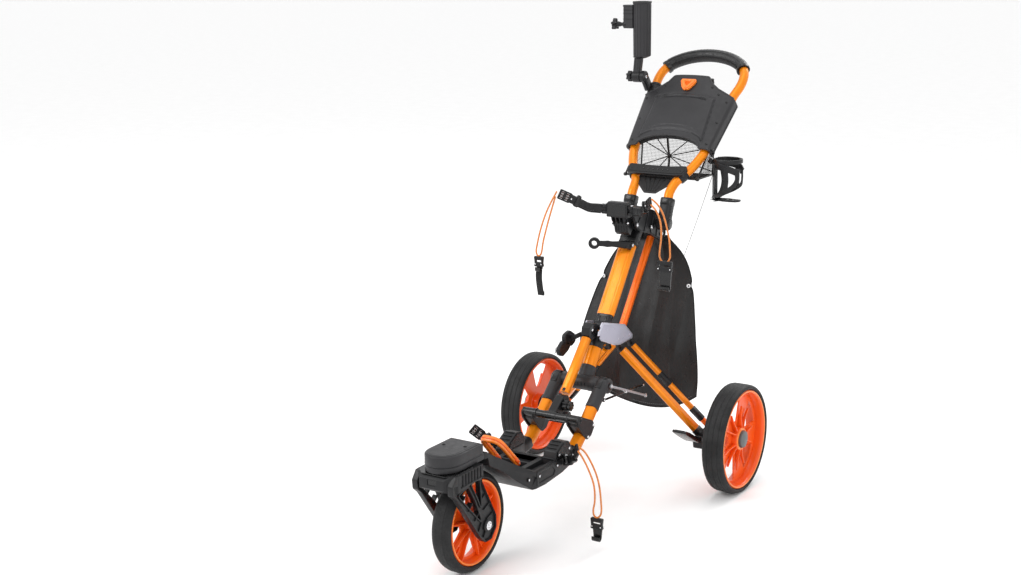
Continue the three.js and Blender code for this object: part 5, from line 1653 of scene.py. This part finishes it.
# ------------------------------------------------------------------ cup cage
def cup_pieces():
    """The cup holder: a ring over a cage of broad bands."""
    cx, cy, r, base = 174, 236, 41, 748

    def C(deg, z, rr=r - 2):
        a = radians(deg)
        return V(cx + rr * cos(a), cy + rr * sin(a), base + (z - 742) * 1.073)
    parts = [lathe([(r - 4.4, 855), (r - 0.6, 855), (r, 856), (r, 865), (r - 0.6, 866),
        (r - 4.4, 866)], V(cx, cy, 0), Z, "charcoal", 64, closed=True)]
    band = lambda pts, w, t=4: sweep(catmull(pts, 40), box_section(w, t, 1.4), "charcoal", side=Z)
    spine = [C(180, z) for z in (850, 830, 790, 760, 744)]
    parts.append(sweep(catmull(spine, 20), box_section(26, 5, 2), "charcoal", side=Y))
    parts += [sweep([C(180, 838, r + 0.4) + Vector((0, k / 1000, 0)),
        C(180, 752, r + 0.4) + Vector((0, k / 1000, 0))], box_section(2.4, 2.4, 0.8), "black_gloss",
        side=Y)
        for k in (-8, 0, 8)]
    for s in (-1, 1):
        wing = [C(180 - s * a, z)
            for a, z in ((8, 838), (40, 838), (80, 835), (118, 829), (152, 820))]
        parts.append(band(wing, 19, 4.6))
        drop = [C(180 - s * a, z)
            for a, z in ((152, 822), (153, 800), (134, 784), (92, 768), (46, 755), (12, 747))]
        parts.append(band(drop, 12, 4.4))
        inner = [C(180 - s * a, z)
            for a, z in ((34, 838), (42, 815), (47, 790), (40, 766), (26, 752))]
        parts.append(sweep(catmull(inner, 30), box_section(12, 4, 1.4), "charcoal",
            side=(sin(radians(40)), s * cos(radians(40)), 0)))
        post = [C(180 - s * a, z) for a, z in ((104, 842), (106, 820), (108, 800), (104, 776))]
        parts.append(sweep(catmull(post, 20), box_section(13, 4.2, 1.4), "charcoal",
            side=(sin(radians(106)), s * cos(radians(106)), 0)))
        rim_line = [C(180 - s * a, z) for a, z in ((20, 851), (60, 850.6), (110, 850), (150, 848))]
        parts.append(sweep(catmull(rim_line, 30), ring(2.6, 12), "black_gloss"))
    foot = rounded([(cx - r + 1, cy - 13), (cx - r + 1, cy + 13), (cx - 6, cy + 20),
        (cx + r - 5, cy + 12), (cx + r - 2, cy - 4), (cx + r - 10, cy - 16), (cx - 6, cy - 20)],
        [3, 3, 12, 8, 8, 8, 12], 5)
    parts.append(top_plate(foot, base, base + 4.4, "charcoal", [offset(foot, -9)], edge=1.2))
    parts += [bar(V(cx + x, cy - 16, base + 2.2), V(cx + x, cy + 16, base + 2.2), Z, 4, 6,
        "charcoal", c=1.2)
        for x in (-16, 0, 16)]
    arm = catmull([V(cx - r + 3, cy - 4, 856), V(131, cy - 9, 859), V(127, cy - 14, 861)], 14)
    parts += [
        sweep(arm, box_section(22, 8, 3), "charcoal", side=Y),
        sweep([p + Z * 0.0042 for p in arm], box_section(14, 1.6, 0.6), "black_gloss", side=Y),
        lathe(barrel(0, 6.4, 7.4, 6, 5), V(129, cy - 16, 859), (0.4, 0, 0.9), "charcoal", 32),
        bolt(V(129, cy - 16, 859) + Vector((0.0024, 0, 0.0054)), (0.4, 0, 0.9), 4, "black_gloss",
            1.8),
    ]
    piece("cup_holder", "handle", parts, "black_plastic")


# ------------------------------------------------------------------ umbrella holder
def umbrella_pieces():
    """The clamp on the handle, the tilting umbrella cup and its two knobs."""
    tilt, setting = V(0, 334, 1073), V(0, 331, 1222)     # the two knobs' axes
    low, high = H(-125.4, 332), H(-131.5, 368)
    d = (high - low).normalized()
    mid = low.lerp(high, 0.5)
    parts = [lathe(barrel(13.6, 19, 20, 17.6, 16), mid, d, "charcoal", 48, closed=True)]
    parts += [lathe([(19.6, q - 3), (20.8, q - 2.4), (20.8, q + 2.4), (19.6, q + 3)], mid, d,
        "charcoal", 48, closed=True)
        for q in (-11, 11)]
    start = V(-140, 0, 0)
    start.y, start.z = mid.y - 0.017, mid.z + 0.009
    end = V(-143, 334, 1073)
    arm = catmull([start, start.lerp(end, 0.5) + Vector((0, -0.002, 0.004)), end], 16)
    parts.append(sweep(arm, box_section(17, 28, 6), "charcoal", side=X))
    parts += [sweep([p + X * (sx * 0.0085) for p in arm[2:13]], box_section(1.6, 16, 0.6),
        "black_gloss", side=X)
        for sx in (-1, 1)]
    parts.append(lathe([(0, -150), (15.6, -150), (17, -148.6), (17, -138), (15, -136), (0, -136)],
        tilt, X, "charcoal", 48))
    for k in range(24):
        a = 2 * pi * k / 24
        p = tilt + Vector((-0.1492, cos(a) * 0.0152, sin(a) * 0.0152))
        parts.append(bar(p, p + X * 0.012, (0, cos(a), sin(a)), 3.4, 2.0, "charcoal", c=0.6))
    parts += [
        bolt(mid + d.cross(X) * 0.0202, d.cross(X), 4.4, "steel", 2.6),
        bolt(tilt + X * (-0.1358), X, 5, "steel", 2.4),
    ]
    piece("umbrella_clamp", "handle", parts, "black_plastic")

    c = V(-152, 340, 0)
    parts = [lathe([(18, 1144), (18, 1288), (26.4, 1288), (27.5, 1287), (27.5, 1283),
        (26.6, 1281.4), (25.7, 1280.8), (24.7, 1133), (24, 1131), (22, 1130), (0, 1130), (0, 1144)],
        c, Z, "slate", 72)]
    for k in range(18):
        a = 2 * pi * k / 18
        u = Vector((cos(a), sin(a), 0))
        parts.append(sweep([c + u * r + Z * z
            for r, z in ((0.0246, 1.133), (0.0246, 1.137), (0.0256, 1.276), (0.0254, 1.2805))],
            box_section(5.6, 1.8, 0.7), "slate", side=(-sin(a), cos(a), 0)))
    lobe = rounded([(-206, 322), (-172, 318), (-172, 354), (-206, 350)], [6, 2, 2, 6], 4)
    parts += [
        top_plate(lobe, 1211, 1276, "slate", edge=1.8),
        top_plate(offset(lobe, 1.4), 1272.6, 1277.6, "slate", edge=1.2),
        top_plate(offset(lobe, -6), 1277, 1278, "black_gloss", edge=0.3),
    ]
    parts += [top_plate(offset(lobe, 0.7), z, z + 2.4, "charcoal", edge=0.6)
        for z in (1236, 1252, 1262)]
    parts.append(lathe([(0, 196), (11, 196), (11, 204), (9.6, 206.4), (6.2, 207), (0, 207)],
        setting, -X, "charcoal", 32))
    neck_top, neck_low = V(-160, 338, 1140), V(-165, 334, 1080)
    parts.append(sweep([neck_top + Z * 0.002, neck_top.lerp(neck_low, 0.1),
        neck_top.lerp(neck_low, 0.85), neck_low], box_section(22, 21, 5), "slate", side=X,
        scale=lambda q: 1.08 - 0.12 * q))
    for kx, ky in ((-4, -10), (4, -10), (-4, 10), (4, 10)):
        off = Vector((kx / 1000, ky / 1000, 0))
        parts.append(sweep([neck_top.lerp(neck_low, 0.08) + off,
            neck_top.lerp(neck_low, 0.8) + off * 0.97], box_section(2.4, 2.4, 0.8), "black_gloss",
            side=X))
    parts += [
        lathe([(22, 1128), (23.4, 1130), (12, 1134), (12, 1126), (13, 1125)], V(-156, 339.4, 0), Z,
            "charcoal", 40, closed=True),
        lathe([(0, -176), (15.6, -176), (17, -174.4), (17, -152), (15, -150.4), (0, -150.4)], tilt,
            X, "charcoal", 48),
    ]
    for k in range(24):
        a = 2 * pi * k / 24
        p = tilt + Vector((-0.1756, cos(a) * 0.0154, sin(a) * 0.0154))
        parts.append(bar(p, p + X * 0.0216, (0, cos(a), sin(a)), 3.2, 2.0, "charcoal", c=0.6))
    piece("umbrella_holder", "umbrella", parts, "black_plastic")

    parts = knob(V(-181, 334, 1073), -X, 15.6, 14, "charcoal", 6, 2.6)
    parts += [
        lathe([(0, 176.6), (7, 176.6), (7, 183), (0, 183)], tilt, -X, "charcoal", 32),
        bolt(V(-195.4, 334, 1073), -X, 5, "steel", 1.6),
        disc(V(-195, 334, 1073), -X, 7.4, 0.8, "black_gloss", 0.2, 28),
    ]
    piece("umbrella_tilt_knob", "tilt_knob", parts, "black_plastic")
    parts = knob(V(-229, 331, 1222), -X, 17, 13.6, "charcoal", 5, 4.4)
    parts += [
        lathe([(0, 207.6), (5.2, 207.6), (5.2, 216), (6.6, 218), (7.6, 229), (0, 231)], setting, -X,
            "charcoal", 32),
        disc(V(-242.8, 331, 1222), -X, 6, 0.8, "black_gloss", 0.3, 24),
    ]
    piece("umbrella_set_knob", "set_knob", parts, "black_plastic")


# ------------------------------------------------------------------ storage bag
def table(points, t):
    """A value read between the points of a table."""
    for (a0, b0), (a1, b1) in zip(points, points[1:]):
        if t <= a1:
            return b0 + (b1 - b0) * (t - a0) / (a1 - a0)
    return points[-1][1]


def bag_pieces():
    """The hanging storage bag, its trim and the two lines that hold it to the basket."""
    shift, hem_z, top_z = -16, 226, 648
    eyelet_v, eyelet_z = 0.705, 524
    width = [(0, 186), (0.1, 190), (0.2, 188), (0.3, 184), (0.45, 172), (0.6, 157), (0.72, 142),
        (0.78, 132), (0.84, 120), (0.9, 103), (0.95, 80), (1, 50)]
    lean = [(170, 52), (250, 46), (370, 52), (453, 78), (558, 118), (650, 134)]

    def width_at(v):
        w = sum(table(width, min(max(v + d, 0), 1)) for d in (-0.03, -0.015, 0, 0.015, 0.03)) / 5
        return w - 5 * exp(-((v - eyelet_v) / 0.02) ** 2)

    def lean_at(z):
        return sum(table(lean, min(max(z + d, 170), 650)) for d in (-24, -12, 0, 12, 24)) / 5

    def fold(u, v):
        fan = u * (1 - 0.45 * v)
        drape = sin(pi * min(1.0, 0.12 + v * 0.85)) ** 0.5
        a = 19 * (1 - abs(sin(4.6 * fan + 0.7 * v + 0.55))) ** 1.4 * drape - 7
        a += 12 * (1 - abs(sin(7.9 * fan - 1.2 * v + 2.1))) ** 1.6 * drape - 3
        a += 2.4 * sin(13 * fan + 1.3 * v + 0.4) * (0.4 + 0.6 * v)
        a += 1.6 * sin(27 * fan + 1.2 * sin(5 * v)) * v ** 1.5
        p = Vector((u * 2.1 + 4, v * 3.0, 0.3))
        a += 4.0 * mnoise.noise(p) + 2.0 * mnoise.noise(p * 2.7)
        return a

    def point(u, v, back):
        dip = 50 * (1 - u * u) * (1 + 0.4 * u)
        z = hem_z - dip + (top_z - hem_z + dip) * v
        w = width_at(v)
        edge = (1 - abs(u) ** 5) * (1 - max(0,
            (v - 0.9) / 0.1) ** 2 * 0.6) * (1 - max(0, (0.05 - v) / 0.05) ** 2)
        mid = lean_at(z) + 11
        belly = 7.5 * edge * sin(pi * (0.12 + 0.8 * v)) ** 0.5
        f = fold(u, v) * edge ** 0.5
        if back:
            return V(shift + u * w, mid + belly * 1.1 + 0.5 * f + 0.6, z)
        return V(shift + u * w, mid - belly - 0.62 * f - 0.6, z)
    nu, nv = 96, 110
    us = [sin(pi / 2 * (-1 + 2 * j / nu)) * 0.35 + (-1 + 2 * j / nu) * 0.65 for j in range(nu + 1)]
    rows = []
    for i in range(nv + 1):
        v = i / nv
        rows.append([point(u, v, False) for u in us] + [point(u, v, True) for u in reversed(us)])
    bag = grid(rows, "nylon", closed=True)
    bm = bmesh.new()
    bm.from_mesh(bag.data)
    bm.verts.ensure_lookup_table()
    k = len(rows[0])
    for r, flip in ((0, False), (nv, True)):
        for j in range(nu):
            a, b = bm.verts[r * k + j], bm.verts[r * k + j + 1]
            c, d = bm.verts[r * k + (k - 2 - j)], bm.verts[r * k + (k - 1 - j)]
            f = (a, d, c, b) if not flip else (a, b, c, d)
            try:
                bm.faces.new(f)
            except ValueError:
                pass
    bmesh.ops.remove_doubles(bm, verts=bm.verts, dist=0.00002)
    bmesh.ops.recalc_face_normals(bm, faces=bm.faces)
    for f in bm.faces:
        f.smooth = True
    bm.to_mesh(bag.data)
    bm.free()
    piece = group("storage_bag_piece", "frame", [bag], ["storage_bag"], sharp=60)

    edges = [[V(shift + s * width_at(i / 60), lean_at(hem_z + (top_z - hem_z) * i / 60) + 11,
        hem_z + (top_z - hem_z) * i / 60)
        for i in range(61)]
        for s in (-1, 1)]
    hem = [point(-1 + 2 * i / 60, 0, False).lerp(point(-1 + 2 * i / 60, 0, True), 0.5)
        for i in range(61)]
    top = [point(-1 + 2 * i / 20, 1, False).lerp(point(-1 + 2 * i / 20, 1, True), 0.5)
        for i in range(21)]
    parts = [
        sweep(edges[0], ring(1.9, 10), "webbing"),
        sweep(edges[1], ring(1.9, 10), "webbing"),
        sweep(hem, ring(2.1, 10), "webbing"),
        sweep(top, box_section(12, 5, 2), "webbing", side=Z),
    ]
    for s in (-1, 1):
        e = V(shift + s * (width_at(eyelet_v) - 4), lean_at(eyelet_z) + 5, eyelet_z)
        parts += [
            lathe([(2.6, -1.4), (5, -1.4), (5.8, 0), (5, 1.4), (2.6, 1.4)], e, (s * 0.35, -0.93, 0),
                "eyelet", 28, closed=True),
            sweep([V(shift + s * 40, lean_at(640) + 10, 640), V(s * 24, 112, 660)],
                box_section(12, 2.4, 1), "webbing", side=Z),
        ]
    for i in range(58):
        p, q = hem[i], hem[i + 1]
        m = p.lerp(q, 0.5) + Vector((0, -0.0022, 0.0085))
        t = (q - p).normalized()
        parts.append(bar(m - t * 0.0022, m + t * 0.0022, Y, 0.9, 0.9, "cord_grey", c=0.3, edge=0.1))
    group("storage_bag_trim", "frame", parts, [])
    for s, word in SIDES:
        end = shift + s * 104
        line = catmull([V(s * 113, 264, 810), V(s * 113 * 0.66 + end * 0.34, 224, 738),
            V(s * 113 * 0.3 + end * 0.7, 178, 660), V(end, 134, 592)], 40)
        free_cord(f"bag_line_{word}", line, 1.6, "cord_grey", "handle", [])


handle_pieces()
console_pieces()
basket_pieces()
cup_pieces()
umbrella_pieces()
bag_pieces()


# ------------------------------------------------------------------ floor and light
def stage():
    floor = raw([(-40, -40, 0), (40, -40, 0), (40, 40, 0), (-40, 40, 0)], [(0, 1, 2, 3)], "floor")
    floor.name = "floor"
    world = bpy.data.worlds.new("world")
    world.use_nodes = True
    bg = world.node_tree.nodes["Background"]
    bg.inputs["Color"].default_value = (1, 1, 1, 1)
    bg.inputs["Strength"].default_value = 1.04
    bpy.context.scene.world = world
    for name, loc, size, power, target in (("key", (-2.6, -3.2, 3.6), 2.4, 95, (0, 0, 0.5)),
            ("fill", (3.8, -2.2, 2.2), 2.8, 30, (0, 0, 0.5)),
            ("rim", (0.5, 3.6, 3.2), 2.2, 60, (0, 0, 0.6)),
            ("top", (0, 0, 4.6), 2.5, 30, (0, 0, 0))):
        li = bpy.data.lights.new(name, "AREA")
        li.size = size
        li.energy = power
        o = bpy.data.objects.new(name, li)
        o.location = loc
        o.rotation_mode = "QUATERNION"
        o.rotation_quaternion = (Vector(target) - Vector(loc)).to_track_quat("-Z", "Y")
        bpy.context.scene.collection.objects.link(o)
    bpy.context.scene.view_settings.view_transform = "Standard"


stage()
